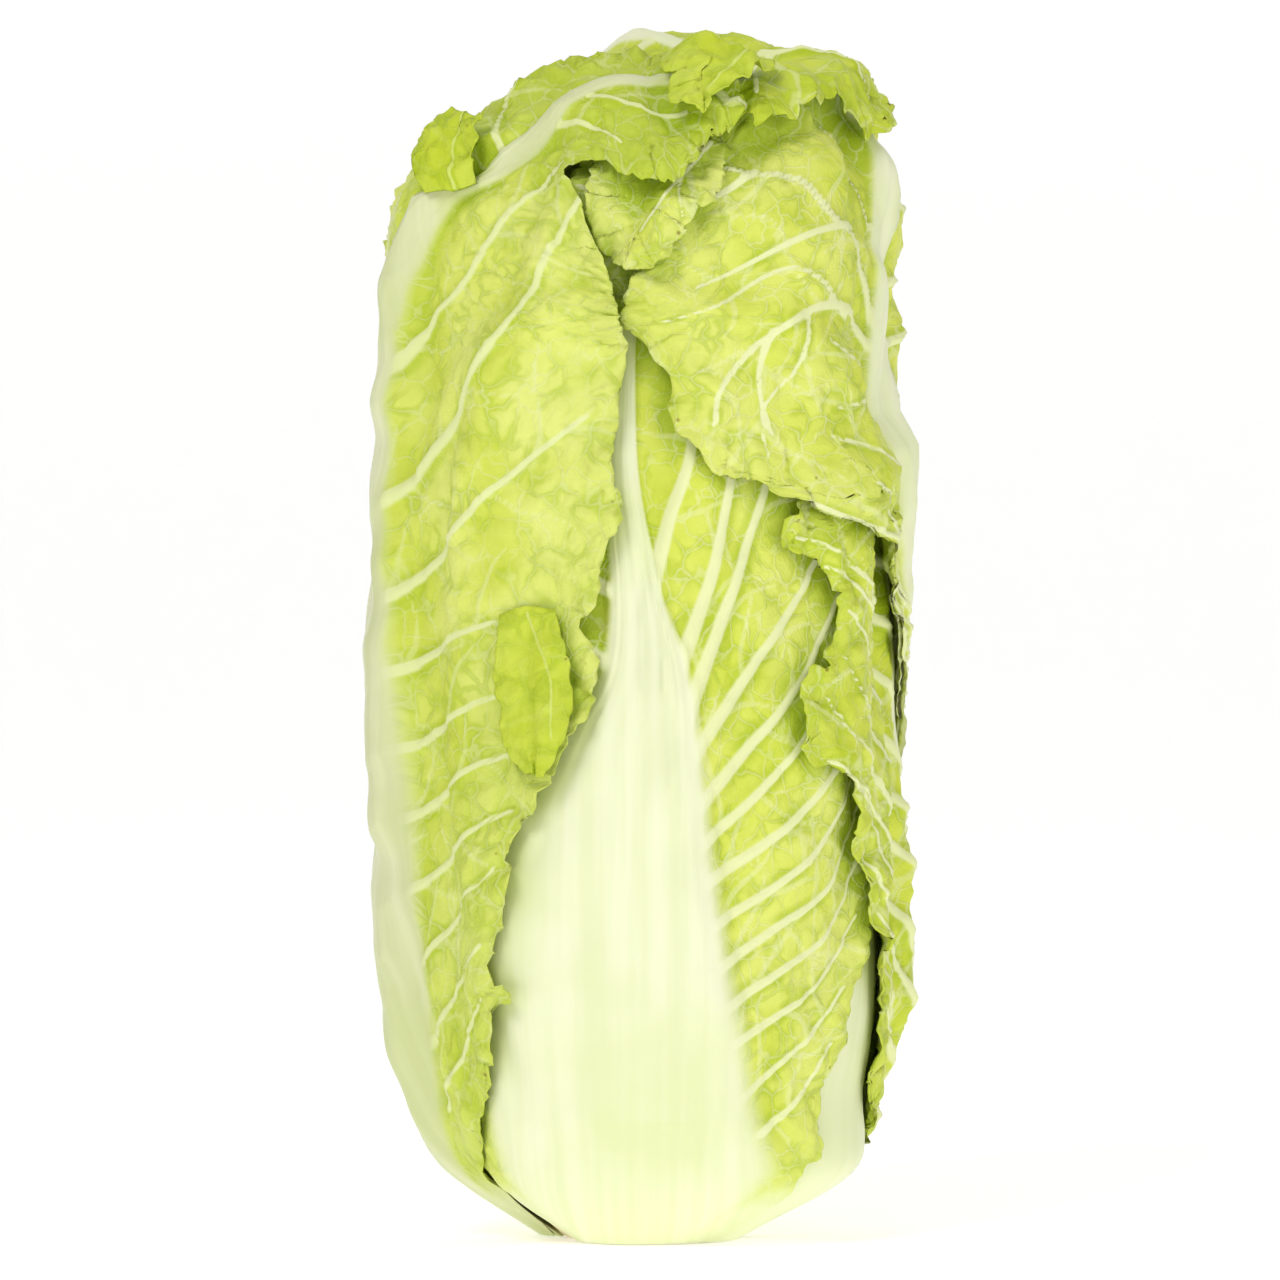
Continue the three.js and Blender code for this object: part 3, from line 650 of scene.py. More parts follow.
def layLeaf(node, leaf, material):
    # lays one leaf over the cover, works its relief, and adds it to the cover
    grid = shapeEdges(leafGrid(leaf), leaf)
    climb, turn = onHead(math.radians(leaf["turn"]), grid["across"], grid["along"])
    blanket = spreadCover(spreadCover(cover, head["drape"], highest), head["drape"], average)
    heartHere = heartReach(climb, turn)
    bed = readCover(blanket, climb, turn)
    near = readCover(spreadCover(cover, rowStep, highest), climb, turn)
    lift = raiseBlade(grid, leaf)
    # near the cut end the rim is tucked down onto what it lies on
    atEdge = nearEdge(grid, edge["rim"])
    tuck = atEdge * (1 - fade(grid["along"], edge["tuckFrom"], edge["tuckTo"]))
    above = (bed + head["layerGap"] + lift) * (1 - tuck) + near * tuck
    inner = heartHere + np.maximum(above, near + head["leastGap"])
    profile = np.maximum(0, 1 - grid["bandStep"] ** 2.6) ** 0.75
    ribThick = (follow(leaf["band"], grid["along"], 2) - head["bladeThickness"]) * profile
    lengthwise = ripple(grid["bandStep"] * grid["columns"] * 30, 7, leaf["seed"] + 9)
    grooves = head["ribGroove"] * profile * lengthwise
    thick = head["bladeThickness"] + ribThick + grooves * fade(ribThick, 0.6, 2)
    thick = thick - head["edgeThinning"] * atEdge
    outer = place(climb, turn, inner + thick)
    tilt = tiltAt(climb)
    outward = np.stack([np.cos(tilt) * np.sin(turn), -np.cos(tilt) * np.cos(turn), np.sin(tilt)], axis=-1)
    rim = np.exp(-grid["edgeGap"] / edge["greenRim"])
    crinkle = fade(grid["bandStep"] * grid["side"], 0.0, 0.3) * fade(grid["v"], 0.0, 0.12)
    crinkle = crinkle * np.where(grid["bandStep"] < 1, 0, 1) * (0.6 + 0.7 * rim)
    fleshy = fade(1 - grid["bandStep"], 0.0, 0.25) * fade(ribThick, 0.1, 1.0)
    layer = np.full_like(grid["across"], leaf["seed"])
    shares = {
        "leafPlace": np.stack([grid["across"], grid["along"], layer], axis=-1),
        "outward": outward,
        "band": np.maximum(fleshy, 0.9 * (1 - fade(grid["along"], 7, 17))),
        "side": grid["side"],
        "green": follow(leaf.get("green", [[0, 0], [400, 0]]), grid["along"]),
        "crinkle": crinkle,
        "rim": rim,
    }
    mesh = leafMesh(node, outer, place(climb, turn, inner), shares)
    piece = bakeRelief("fine_" + node, mesh, leaf, material)
    count = outer.shape[0] * outer.shape[1]
    layDown(finerPoints(piecePoints(piece)[:count].reshape(outer.shape) / metre))
    print("laid", node, len(piece.data.polygons) * 2, "triangles")
    return piece


def piecePoints(piece):
    points = np.empty(len(piece.data.vertices) * 3, np.float32)
    piece.data.vertices.foreach_get("co", points)
    return points.reshape(-1, 3)


# painted shade in nooks: how far round the cover is spread, and the depths below it where the shade starts
# and is full
nookShading = {"around": 5.0, "shallow": 0.4, "deep": 4.5}


def paintNookShade(pieces):
    # how deep each point lies below the leaves around it: painted shade tints these nooks a stronger green
    mean = spreadCover(cover, nookShading["around"], average)
    for piece in pieces:
        climb, turn, reach = measure(piecePoints(piece) / metre)
        below = readCover(mean, climb, turn) - (reach - heartReach(climb, turn))
        storeAttribute(piece.data, "nookShade", fade(below, nookShading["shallow"], nookShading["deep"]))


# Finishes

def leafMaterial(name, look):
    # waxy leaf: creamy rib and veins, a net of small pale veins in a blade that is greener at its edge
    material = bpy.data.materials.new(name)
    material.use_nodes = True
    tree = material.node_tree
    shader = tree.nodes["Principled BSDF"]
    spot = attribute(tree, "leafPlace", 1)
    band, rim, green, vein, fineVein, lump, nookShade, side = (attribute(tree, key, 2) for key in (
        "band", "rim", "green", "vein", "fineVein", "lump", "nookShade", "side"))

    def noise(scale, detail=2.0, vector=spot):
        inputs = {"Vector": vector, "Scale": scale, "Detail": detail, "Roughness": 0.5}
        return addNode(tree, "ShaderNodeTexNoise", None, inputs)

    def tint(base, factor, color):
        return mixColor(tree, factor, base, look[color])

    # the blade: mottled, paler out to its edge or greener at the rim; painted light makes raised folds paler,
    # and painted shade makes it darker in puckers, in nooks and beside the veins
    bent, cells = veinNet(tree, spot, 1 / look["netSize"])
    netLine = product(tree, remap(tree, cells, 0.012, 0.06, 1.0, 0.0),
                      remap(tree, noise(0.09), 0.35, 0.6, 0.35, 1.0))
    puckerShade = product(tree, remap(tree, cells, 0.04, 0.24, 1.0, 0.0), remap(tree, noise(0.13), 0.4, 0.62))
    small = addNode(tree, "ShaderNodeTexVoronoi", {"feature": "DISTANCE_TO_EDGE"},
                    {"Vector": bent, "Scale": 2.6 / look["netSize"]}, "Distance")
    closeNet = remap(tree, small, 0.01, 0.1, 1.0, 0.0)
    outer = remap(tree, total(tree, side, remap(tree, noise(0.05), 0.3, 0.7, -0.3, 0.3)), 0.3, 0.95)
    outer = product(tree, outer, maths(tree, "SUBTRACT", look["edgePale"], green))
    outer = addNode(tree, "ShaderNodeClamp", None, {"Value": outer})
    deep = total(tree, rim, remap(tree, noise(0.12), 0.4, 0.7, -0.25, 0.25))
    deep = total(tree, product(tree, deep, look["rimTint"]), green)
    deep = addNode(tree, "ShaderNodeClamp", None, {"Value": deep})
    besideVeinShade = product(tree, remap(tree, vein, 0.3, 0.7), remap(tree, noise(0.06), 0.42, 0.6))
    blade = mixColor(tree, remap(tree, noise(0.045, 3.0), 0.35, 0.65), look["blade"], look["bladePaleAndLit"])
    for factor, color in (
            # painted light: raised folds are tinted paler
            (product(tree, lump, look["foldLightTint"]), "bladePaleAndLit"),
            (outer, "edge"),
            (deep, "bladeDeepAndShade"),
            # painted shade: a darker green in the puckers along the net lines and beside the main veins
            (product(tree, puckerShade, look["puckerShadeTint"]), "bladeDeepAndShade"),
            (product(tree, besideVeinShade, look["besideVeinShadeTint"]), "bladeDeepAndShade"),
            # painted shade: a darker, stronger green in nooks under other leaves
            (product(tree, nookShade, look["nookShadeTint"]), "nookShade"),
            (product(tree, closeNet, look["closeTint"]), "bladePaleAndLit"),
            (product(tree, netLine, look["netTint"]), "vein"),
            (remap(tree, fineVein, 0.78, 0.9, 0.0, look["netTint"]), "vein"),
            (remap(tree, vein, 0.74, 0.86, 0.0, 0.94), "vein")):
        blade = tint(blade, factor, color)

    # the rib: lengthwise fibres
    lengthwise = addNode(tree, "ShaderNodeMapping", None, {"Vector": spot, "Scale": (1.0, 0.045, 1.0)})
    fibre = noise(0.2, 3.0, lengthwise)
    rib = mixColor(tree, remap(tree, fibre, 0.3, 0.7), look["ribShade"], look["rib"])
    rib = tint(rib, remap(tree, noise(0.03), 0.4, 0.75, 0.0, 0.6), "ribGreen")
    # painted shade: the rib is tinted greener in nooks under other leaves
    rib = tint(rib, product(tree, nookShade, look["ribNookShadeTint"]), "ribNookShade")
    color = mixColor(tree, band, blade, rib)

    # tiny dry specks along the edges
    dots = addNode(tree, "ShaderNodeTexVoronoi", {"feature": "F1"},
                   {"Vector": spot, "Scale": 0.34}, "Distance")
    speck = product(tree, remap(tree, dots, 0.1, 0.2, 1.0, 0.0), remap(tree, rim, 0.75, 0.93),
                    remap(tree, noise(0.09), 0.53, 0.6), look["speckTint"])
    link(tree, shader.inputs["Base Color"], tint(color, speck, "speck"))
    gloss = total(tree, remap(tree, noise(0.7, 3.0), 0.3, 0.7, 0.44, 0.6), product(tree, band, -0.08))
    link(tree, shader.inputs["Roughness"], gloss)
    shader.inputs["Subsurface Weight"].default_value = look["glowThrough"]
    shader.inputs["Subsurface Radius"].default_value = (0.9, 1.0, 0.35)
    shader.inputs["Subsurface Scale"].default_value = 0.003
    shader.inputs["Specular IOR Level"].default_value = 0.25

    # fine relief: the net on the blade, a grain all over, the fibres on the rib
    plain = maths(tree, "MAXIMUM", band, remap(tree, vein, 0.74, 0.86))
    wrinkle = product(tree, total(tree, product(tree, netLine, 0.8), product(tree, closeNet, 0.25)),
                      maths(tree, "SUBTRACT", 1.0, plain))
    grain = product(tree, noise(0.8), maths(tree, "SUBTRACT", 0.5, product(tree, plain, 0.45)))
    height = total(tree, wrinkle, grain, product(tree, fibre, band, 0.35))
    bump = addNode(tree, "ShaderNodeBump", None,
                   {"Height": height, "Strength": look["bump"], "Distance": 0.0005})
    link(tree, shader.inputs["Normal"], bump)
    return material


# the deep blade colour and the nook colours are partly painted shade, and the pale blade colour partly
# painted light on raised folds
plainLook = {
    "blade": srgb(202, 215, 72), "bladePaleAndLit": srgb(220, 230, 108), "bladeDeepAndShade": srgb(170, 192, 14),
    "edge": srgb(230, 237, 136), "vein": srgb(236, 240, 182), "rib": srgb(242, 244, 210),
    "ribShade": srgb(232, 237, 192), "ribGreen": srgb(224, 232, 172), "nookShade": srgb(160, 186, 2),
    "ribNookShade": srgb(208, 218, 122), "netSize": 6.5, "netTint": 0.36, "puckerShadeTint": 0.55, "rimTint": 0.2,
    "foldLightTint": 0.3, "besideVeinShadeTint": 0.55, "nookShadeTint": 0.75, "ribNookShadeTint": 0.6, "closeTint": 0.13,
    "speck": srgb(120, 92, 20), "speckTint": 0.65, "edgePale": 0.75, "bump": 0.35, "glowThrough": 0.05,
}
crownLook = {
    **plainLook, "blade": srgb(200, 215, 46), "bladePaleAndLit": srgb(214, 226, 84), "bladeDeepAndShade": srgb(164, 186, 6),
    "nookShade": srgb(142, 168, 0), "edgePale": 0.1, "rimTint": 0.45,
}
looks = {
    "outer": plainLook,
    # painted shade: the left leaf's rib and veins are darker and duller, for the side that turns away from
    # the light
    "left": {**plainLook, "vein": srgb(228, 234, 168), "rib": srgb(226, 229, 188),
             "ribShade": srgb(208, 213, 162), "ribGreen": srgb(204, 213, 146)},
    "front": {**plainLook, "blade": srgb(208, 221, 72), "bladePaleAndLit": srgb(224, 232, 104), "netSize": 6.0,
              "edgePale": 0.5},
    "side": {**plainLook, "blade": srgb(202, 216, 46), "bladePaleAndLit": srgb(218, 229, 80), "netSize": 6.0,
             "edgePale": 0.3, "rimTint": 0.4},
    "crown": crownLook,
    "curl": {**crownLook, "vein": srgb(210, 223, 112), "netTint": 0.2},
    "inner": {**plainLook, "blade": srgb(212, 224, 78), "bladePaleAndLit": srgb(232, 239, 128), "netSize": 5.0},
}
materials = {key: leafMaterial(key + "Blade", look) for key, look in looks.items()}

plainRelief = {"Main Rise": 0.75, "Fine Rise": 0.25, "Swell Height": 0.5, "Swell Width": 7.0,
               "Blister Height": 0.7, "Fold Height": 0.9}
bumpyRelief = {**plainRelief, "Blister Height": 1.1, "Fold Height": 1.3}

# Folded or curled bits of a leaf's edge: thin all over, each naming the node of the leaf that it belongs to
curl = {"finish": "curl", "band": [[0, 0.5, 0.8], [400, 0.5, 0.8]]}

# The leaves in the order they grew, from the heart outwards. The rib's line and the two edges run up
# from the cut end through [across, along] points.
# - turn: degrees round from the show side
# - cells: the grid's columns on each half of the rib band and of the blade, and its rows
# - ruffle: height and length of the waves at the edge; tooth: height and spacing; sway: wide waves
# - calm, green, toothRise: [along, strength] of the waves, of a greener blade, and of the teeth
# - lifts: across, along, their spans, and height of a bulge
# - band: the rib's [along, half width, thickness], and its left half width where that differs
# - leftVeins, rightVeins: first and last along, number, reach towards the edge, and climb
# - drawn: veins through [across, along] points, with the half widths at their two ends
leaves = {
    "leaf_inner_back": {
        "turn": 176, "cells": [6, 18, 110], "seed": 11, "finish": "inner",
        "ruffle": (2.0, 22), "tooth": (0.8, 6), "sway": 0.8, "relief": plainRelief,
        "rib": [[0, 22], [0, 205], [4, 300], [6, 340]],
        "left": [[-28, 22], [-52, 70], [-62, 140], [-62, 205], [-52, 260], [-40, 305], [-28, 328]],
        "right": [[28, 22], [52, 70], [62, 140], [60, 205], [50, 260], [40, 305], [30, 328]],
        "band": [[22, 24, 3.6], [80, 16, 3.6], [205, 8, 3], [300, 4, 2.4], [340, 2, 1.4]],
        "girth": 1.8, "leftVeins": (60, 300, 9, 0.95, 0.3), "rightVeins": (60, 300, 9, 0.95, 0.3),
    },
    "leaf_inner_front": {
        "turn": 2, "cells": [6, 30, 150], "seed": 12, "finish": "inner",
        "ruffle": (2.6, 18), "tooth": (1.0, 6), "sway": 0.8,
        "rib": [[0, 30], [12, 150], [30, 284]],
        "left": [[-26, 30], [-44, 80], [-47, 150], [-36, 205], [-20, 240], [-12, 268]],
        "right": [[26, 30], [44, 80], [54, 150], [52, 210], [46, 250], [40, 278]],
        "band": [[30, 20, 3], [120, 9, 2.8], [284, 2, 1.4]],
        "girth": 1.6, "leftVeins": (60, 230, 8, 0.95, 0.35), "rightVeins": (60, 230, 8, 0.95, 0.35),
    },
    "leaf_back": {
        "turn": 184, "cells": [12, 34, 170], "seed": 13, "finish": "outer",
        "ruffle": (2.4, 20), "tooth": (1.0, 6), "sway": 1.0, "relief": plainRelief,
        "rib": [[0, 0], [2, 205], [3, 276]],
        "left": [[-20, 0], [-40, 20], [-55, 60], [-62, 120], [-60, 180], [-50, 225], [-32, 258]],
        "right": [[20, 0], [40, 20], [57, 60], [64, 120], [62, 180], [52, 225], [34, 258]],
        "band": [[0, 18, 3], [20, 35, 4.6], [60, 27, 5], [130, 14, 4.4], [205, 6, 3.4], [276, 2, 1.4]],
        "girth": 2.2, "leftVeins": (20, 240, 12, 0.95, 0.3), "rightVeins": (20, 240, 12, 0.95, 0.3),
    },
    "leaf_right_under": {
        "turn": 55, "cells": [10, 26, 130], "seed": 14, "finish": "outer",
        "ruffle": (1.4, 18), "tooth": (0.8, 6), "sway": 0.8, "relief": plainRelief,
        "rib": [[4, 0], [6, 60], [2, 150], [0, 232]],
        "left": [[-12, 0], [-26, 18], [-42, 55], [-52, 110], [-50, 165], [-30, 215]],
        "right": [[19, 0], [36, 18], [48, 55], [55, 110], [52, 165], [32, 215]],
        "band": [[0, 15, 3], [18, 29, 4.4], [60, 23, 4.8], [130, 12, 4], [232, 2, 1.4]],
        "girth": 2.0, "leftVeins": (20, 200, 10, 0.95, 0.3), "rightVeins": (20, 200, 10, 0.95, 0.3),
    },
    "leaf_front": {
        "turn": 0, "cells": [26, 48, 215], "seed": 15, "finish": "front",
        "ruffle": (1.4, 17), "tooth": (1.2, 4.8), "sway": 0.6, "relief": plainRelief,
        "rib": [[-2, 0], [-3, 60], [-1, 104], [2, 131], [1, 150], [-3, 175], [-3, 200], [-2, 218]],
        "left": [[-26, 0], [-48, 12], [-58, 32], [-65, 58], [-70, 90], [-73, 120], [-71, 155], [-58, 188],
                 [-34, 208]],
        "right": [[19, 0], [37, 10], [41, 16], [44, 19], [47, 21], [49, 26], [50, 31], [54, 38], [58, 43],
                  [57, 48], [60, 53], [61, 58], [64, 63], [67, 69], [71, 85], [74, 100], [77, 130], [74, 165],
                  [60, 192], [40, 208]],
        "band": [[0, 22, 3.2, 25], [15, 40, 5, 56], [30, 36, 5.6, 58], [56, 29, 6.4, 50], [85, 22.5, 6.4, 38],
                 [104, 18.5, 5.9, 27], [116, 15.5, 5.2, 21], [131, 10.5, 4, 13], [149, 4.5, 3, 10],
                 [175, 3.2, 2.2, 7], [200, 2.2, 1.8, 4], [218, 1.5, 1.4, 2]],
        "girth": 2.2, "leftVeins": (30, 190, 9, 0.95, 0.3),
        "drawn": [
            ([[3, 150], [7, 165], [12, 179], [16, 200]], 2.6, 1.1),
            ([[10, 134], [17, 152], [22, 173], [26, 196]], 2.8, 1.1),
            ([[13, 126], [22, 148], [31, 171], [38, 192]], 2.6, 1.0),
            ([[14, 114], [28, 132], [46, 154], [56, 172]], 2.6, 0.9),
            ([[16, 103], [28, 115], [39, 126], [46, 136], [56, 152]], 2.2, 0.8),
            ([[17, 94], [30, 104], [44, 118], [58, 138]], 2.0, 0.8),
            ([[18, 85], [32, 93], [47, 104], [65, 126]], 2.0, 0.7),
            ([[21, 76], [34, 83], [48, 93], [66, 114]], 1.8, 0.7),
            ([[23, 67], [35, 74], [50, 83], [66, 102]], 1.8, 0.7),
            ([[25, 58], [36, 64], [50, 72], [65, 90]], 1.7, 0.6),
            ([[26, 49], [36, 54], [49, 61], [62, 76]], 1.6, 0.6),
            ([[29, 37], [38, 43], [47, 49], [58, 60]], 1.5, 0.6),
            ([[32, 27], [40, 32], [47, 38], [54, 47]], 1.4, 0.6)],
    },
    "leaf_back_right": {
        "turn": 142, "cells": [12, 38, 190], "seed": 16, "finish": "crown",
        "ruffle": (2.4, 20), "tooth": (1.2, 6), "sway": 1.0,
        "rib": [[0, 0], [3, 205], [5, 302]],
        "left": [[-18, 0], [-36, 18], [-56, 60], [-64, 120], [-63, 180], [-60, 222], [-54, 255], [-38, 288]],
        "right": [[18, 0], [36, 18], [56, 60], [64, 120], [62, 180], [54, 225], [40, 262], [26, 286]],
        "band": [[0, 16, 3.2], [18, 32, 5], [60, 25, 5.4], [130, 14, 4.8], [205, 7, 3.6], [302, 2, 1.4]],
        "girth": 2.2, "leftVeins": (20, 270, 13, 0.95, 0.3), "rightVeins": (20, 270, 13, 0.95, 0.3),
    },
    "leaf_back_left": {
        "turn": -125, "cells": [12, 40, 215], "seed": 17, "finish": "crown",
        "ruffle": (3.1, 19), "tooth": (1.3, 6), "sway": 1.2,
        "rib": [[0, 0], [0, 130], [0, 205], [2, 260], [4, 312], [8, 358]],
        "left": [[-16, 0], [-34, 18], [-54, 58], [-63, 115], [-62, 170], [-57, 215], [-47, 260], [-38, 305],
                 [-26, 344]],
        "right": [[16, 0], [34, 18], [54, 58], [62, 115], [62, 170], [58, 215], [52, 260], [46, 305],
                  [36, 344]],
        "band": [[0, 15, 3.2], [18, 31, 5], [60, 25, 5.4], [130, 14, 4.8], [205, 7, 4], [300, 4.5, 3.4],
                 [358, 2, 1.6]],
        "girth": 2.2, "leftVeins": (20, 320, 15, 0.95, 0.3), "rightVeins": (20, 320, 15, 0.95, 0.3),
    },
    "leaf_right_lower": {
        "turn": 92, "cells": [12, 52, 175], "seed": 18, "finish": "side",
        "ruffle": (2.4, 15), "tooth": (1.3, 6), "sway": 0.8,
        "lifts": [(2, 130, 15, 48, 2.6)],
        "rib": [[16, 0], [20, 20], [14, 60], [8, 110], [0, 150], [-10, 182]],
        "left": [[8, 0], [6, 12], [0, 23], [-18, 34], [-23, 46], [-23, 53], [-30, 60], [-36, 73], [-40, 83],
                 [-45, 94], [-49, 106], [-60, 113], [-63, 122], [-61, 130], [-54, 137], [-52, 146],
                 [-53, 154], [-64, 158], [-67, 163], [-59, 171], [-40, 177]],
        "right": [[26, 0], [48, 18], [60, 42], [65, 75], [66, 115], [58, 150], [40, 174], [14, 186]],
        "band": [[0, 9, 2.8], [18, 16, 3.2], [60, 13, 3.2], [110, 9, 3], [182, 2, 1.3]],
        "girth": 1.9, "leftVeins": (16, 150, 10, 0.95, 0.25), "rightVeins": (16, 160, 10, 0.95, 0.25),
    },
    "leaf_right_upper": {
        "turn": 50, "cells": [11, 62, 235], "seed": 19, "finish": "front",
        "calm": [[0, 0.1], [128, 0.1], [165, 1], [400, 1]],
        "ruffle": (2.8, 18), "tooth": (0.8, 6), "sway": 1.0,
        "rib": [[51, 9], [60, 15], [74, 32], [81, 60], [78, 100], [64, 132], [46, 158], [34, 184], [28, 207],
                [27, 234], [29, 255], [26, 278]],
        "left": [[40, 9], [50, 16], [66, 32], [76, 60], [74, 100], [64, 124], [45, 141], [27, 149], [12, 165],
                 [5, 172], [-3, 174], [-8, 179], [-16, 172], [-21, 170], [-32, 176], [-36, 175], [-41, 179],
                 [-47, 187], [-48, 197], [-54, 204], [-59, 216], [-54, 231], [-42, 247], [-24, 264]],
        "right": [[62, 9], [73, 16], [90, 32], [102, 62], [106, 100], [99, 140], [87, 175], [77, 205],
                  [69, 232], [54, 262]],
        "band": [[0, 14, 3], [18, 21, 4], [60, 17, 4.4], [120, 13, 4.6], [170, 9, 4.6], [230, 6, 4],
                 [278, 3, 2.4]],
        "girth": 2.0, "leftVeins": (60, 130, 4, 0.9, 0.2), "rightVeins": (20, 250, 12, 0.95, 0.25),
        "drawn": [
                      ([[29, 203], [15, 222], [0, 234], [-9, 245], [-19, 250], [-32, 258]], 2.6, 1.0),
                      ([[-19, 250], [-29, 247], [-40, 247]], 1.2, 0.7),
                      ([[0, 234], [-15, 231], [-40, 223]], 1.5, 0.7),
                      ([[22, 206], [4, 214], [-11, 214], [-24, 207], [-36, 195], [-38, 186]], 2.2, 0.8),
                      ([[-24, 207], [-27, 196], [-24, 184]], 1.0, 0.6),
                      ([[-14, 212], [-17, 200], [-26, 190], [-25, 178]], 1.0, 0.6),
                      ([[0, 213], [-18, 224], [-36, 216], [-50, 212]], 1.2, 0.6),
                      ([[40, 168], [26, 181], [14, 194], [-8, 206]], 2.2, 0.8),
                      ([[14, 194], [2, 192], [-8, 190]], 1.1, 0.6),
                      ([[40, 160], [22, 172], [4, 181], [-8, 184]], 1.6, 0.7),
                      ([[29, 232], [16, 246], [4, 260]], 1.4, 0.7)],
    },
    "curl_inner_front": {
        **curl, "node": "leaf_inner_front", "turn": 0, "cells": [2, 26, 46], "seed": 21, "finish": "inner",
        "ruffle": (1.8, 9), "tooth": (1.0, 5), "sway": 0.4,
        "relief": {**bumpyRelief, "Blister Height": 1.0, "Fold Height": 0.4},
        "calm": [[220, 1], [238, 0.7], [247, 0.1], [260, 0]],
        "rib": [[2, 258], [1, 240], [0, 223]],
        "left": [[18, 256], [17, 246], [13, 236], [6, 226]],
        "right": [[-9, 256], [-12, 243], [-10, 231], [-5, 224]],
        "drawn": [
            ([[14, 254], [7, 242], [0, 232]], 0.7, 0.4), ([[9, 246], [8, 240], [9, 234]], 0.6, 0.3)],
    },
    "curl_back_right": {
        **curl, "node": "leaf_back_right", "turn": 50, "cells": [2, 42, 54], "seed": 22, "finish": "crown",
        "ruffle": (2.0, 10), "tooth": (1.6, 6), "sway": 0.2,
        "lifts": [(24, 261, 7, 6, 1.5), (2, 264, 8, 6, 0.8)],
        "rib": [[8, 285], [5, 275], [3, 262]],
        "left": [[26, 282], [29, 274], [30, 265], [25, 258]],
        "right": [[-19, 282], [-23, 273], [-22, 264], [-16, 257]],
        "drawn": [
            ([[8, 284], [17, 276], [22, 266]], 1.2, 0.6), ([[7, 282], [-6, 274], [-14, 264]], 1.2, 0.6)],
    },
    "leaf_left": {
        # painted shade: this leaf takes the darker left look
        "turn": -77, "cells": [11, 56, 275], "seed": 20, "finish": "left",
        "calm": [[0, 0.2], [40, 0.6], [110, 1], [240, 1], [262, 0.5], [400, 0.7]],
        "ruffle": (3.0, 17), "tooth": (1.1, 4.6), "sway": 0.9,
        "toothRise": [[0, 1], [145, 1], [185, 0.45], [262, 0.4], [285, 1], [330, 1]],
        "green": [[0, 0.25], [110, 0.15], [150, 0], [255, 0], [275, 0.45], [330, 0.55]],
        "lifts": [(58, 296, 9, 18, 3.0)],
        "rib": [[-20, 0], [-14, 12], [-5, 35], [0, 70], [0, 125], [0, 180], [2, 205], [7, 224], [17, 244],
                [29, 257], [33, 275], [33, 292], [37, 307], [46, 318], [50, 327]],
        "left": [[-32, 0], [-38, 12], [-48, 36], [-58, 68], [-68, 105], [-72, 140], [-69, 175], [-54, 203],
                 [-34, 222], [-20, 240], [-5, 258], [8, 273], [16, 292], [26, 314]],
        "right": [[-10, 0], [0, 6], [8, 12], [21, 22], [30, 30], [40, 41], [47, 53], [53, 58], [48, 64],
                  [50, 69], [54, 85], [56, 96], [62, 104], [66, 111], [70, 118], [76, 131], [70, 141],
                  [75, 148], [77, 160], [81, 167], [78, 178], [81, 200], [79, 226], [73, 247], [60, 263],
                  [50, 269], [52, 277], [58, 283], [66, 292], [64, 305], [57, 316]],
        "band": [[0, 9, 3.2, 11], [15, 10.5, 4.8, 18], [33, 13, 5.6, 20], [60, 17, 6, 20], [80, 18.5, 6, 19],
                 [126, 15, 5.6, 15], [172, 10.5, 5, 10], [205, 7, 4.4, 7], [232, 4.6, 3.8, 4.6],
                 [256, 3.3, 3.2, 3.3], [300, 2.4, 2.4, 2.4], [327, 1.4, 1.4, 1.4]],
        "girth": 1.8, "leftVeins": (20, 215, 12, 0.95, 0.25),
        "drawn": [
            ([[2, 195], [18, 213], [33, 230], [43, 259], [47, 270]], 2.4, 1.0),
            ([[6, 168], [24, 180], [37, 191], [55, 220], [58, 265]], 2.6, 1.0),
            ([[9, 147], [31, 159], [46, 170], [60, 180], [74, 190]], 2.2, 0.8),
            ([[10, 130], [30, 137], [48, 142], [62, 141]], 1.9, 0.7),
            ([[10, 112], [30, 119], [46, 125], [60, 128]], 1.8, 0.7),
            ([[11, 96], [28, 103], [44, 110], [60, 114]], 1.8, 0.7),
            ([[12, 80], [28, 87], [42, 95], [54, 100]], 1.8, 0.7),
            ([[12, 64], [26, 71], [38, 79], [50, 87]], 1.7, 0.7),
            ([[13, 48], [26, 55], [37, 63], [47, 70]], 1.6, 0.6),
            ([[13, 34], [25, 40], [35, 48], [45, 58]], 1.5, 0.6),
            ([[33, 286], [45, 299], [50, 310]], 1.3, 0.7),
            ([[33, 276], [44, 284], [52, 288]], 1.3, 0.7),
            ([[30, 262], [18, 270], [12, 280]], 1.3, 0.7)],
    },
    "curl_left": {
        **curl, "node": "leaf_left", "turn": -77, "cells": [2, 16, 50], "seed": 23,
        "ruffle": (0.8, 9), "tooth": (0.5, 6), "sway": 0.2, "relief": plainRelief,
        "lifts": [(64, 124, 4, 13, 2.2)],
        "rib": [[58, 146], [60, 128], [62, 108]],
        "left": [[65, 145], [70, 130], [68, 116], [64.5, 108]],
        "right": [[51, 144], [51, 128], [54, 115], [60, 108]],
        "drawn": [([[59, 143], [65, 130], [66, 116]], 0.5, 0.3)],
    },
    "curl_shoulder": {
        **curl, "node": "leaf_left", "turn": -77, "cells": [2, 16, 26], "seed": 24,
        "ruffle": (1.6, 8), "tooth": (0.8, 5), "sway": 0.3,
        "lifts": [(14, 262, 7, 7, 2.5)],
        "rib": [[23, 247], [18, 255], [14, 263]],
        "left": [[17, 244], [10, 252], [7, 261]],
        "right": [[28, 252], [26, 259], [22, 266]],
        "drawn": [([[24, 249], [22, 256], [19, 264]], 0.6, 0.3)],
    },
    "curl_back_left": {
        **curl, "node": "leaf_back_left", "turn": 20, "cells": [2, 20, 34], "seed": 25,
        "ruffle": (1.6, 8), "tooth": (1.0, 6), "sway": 0.3,
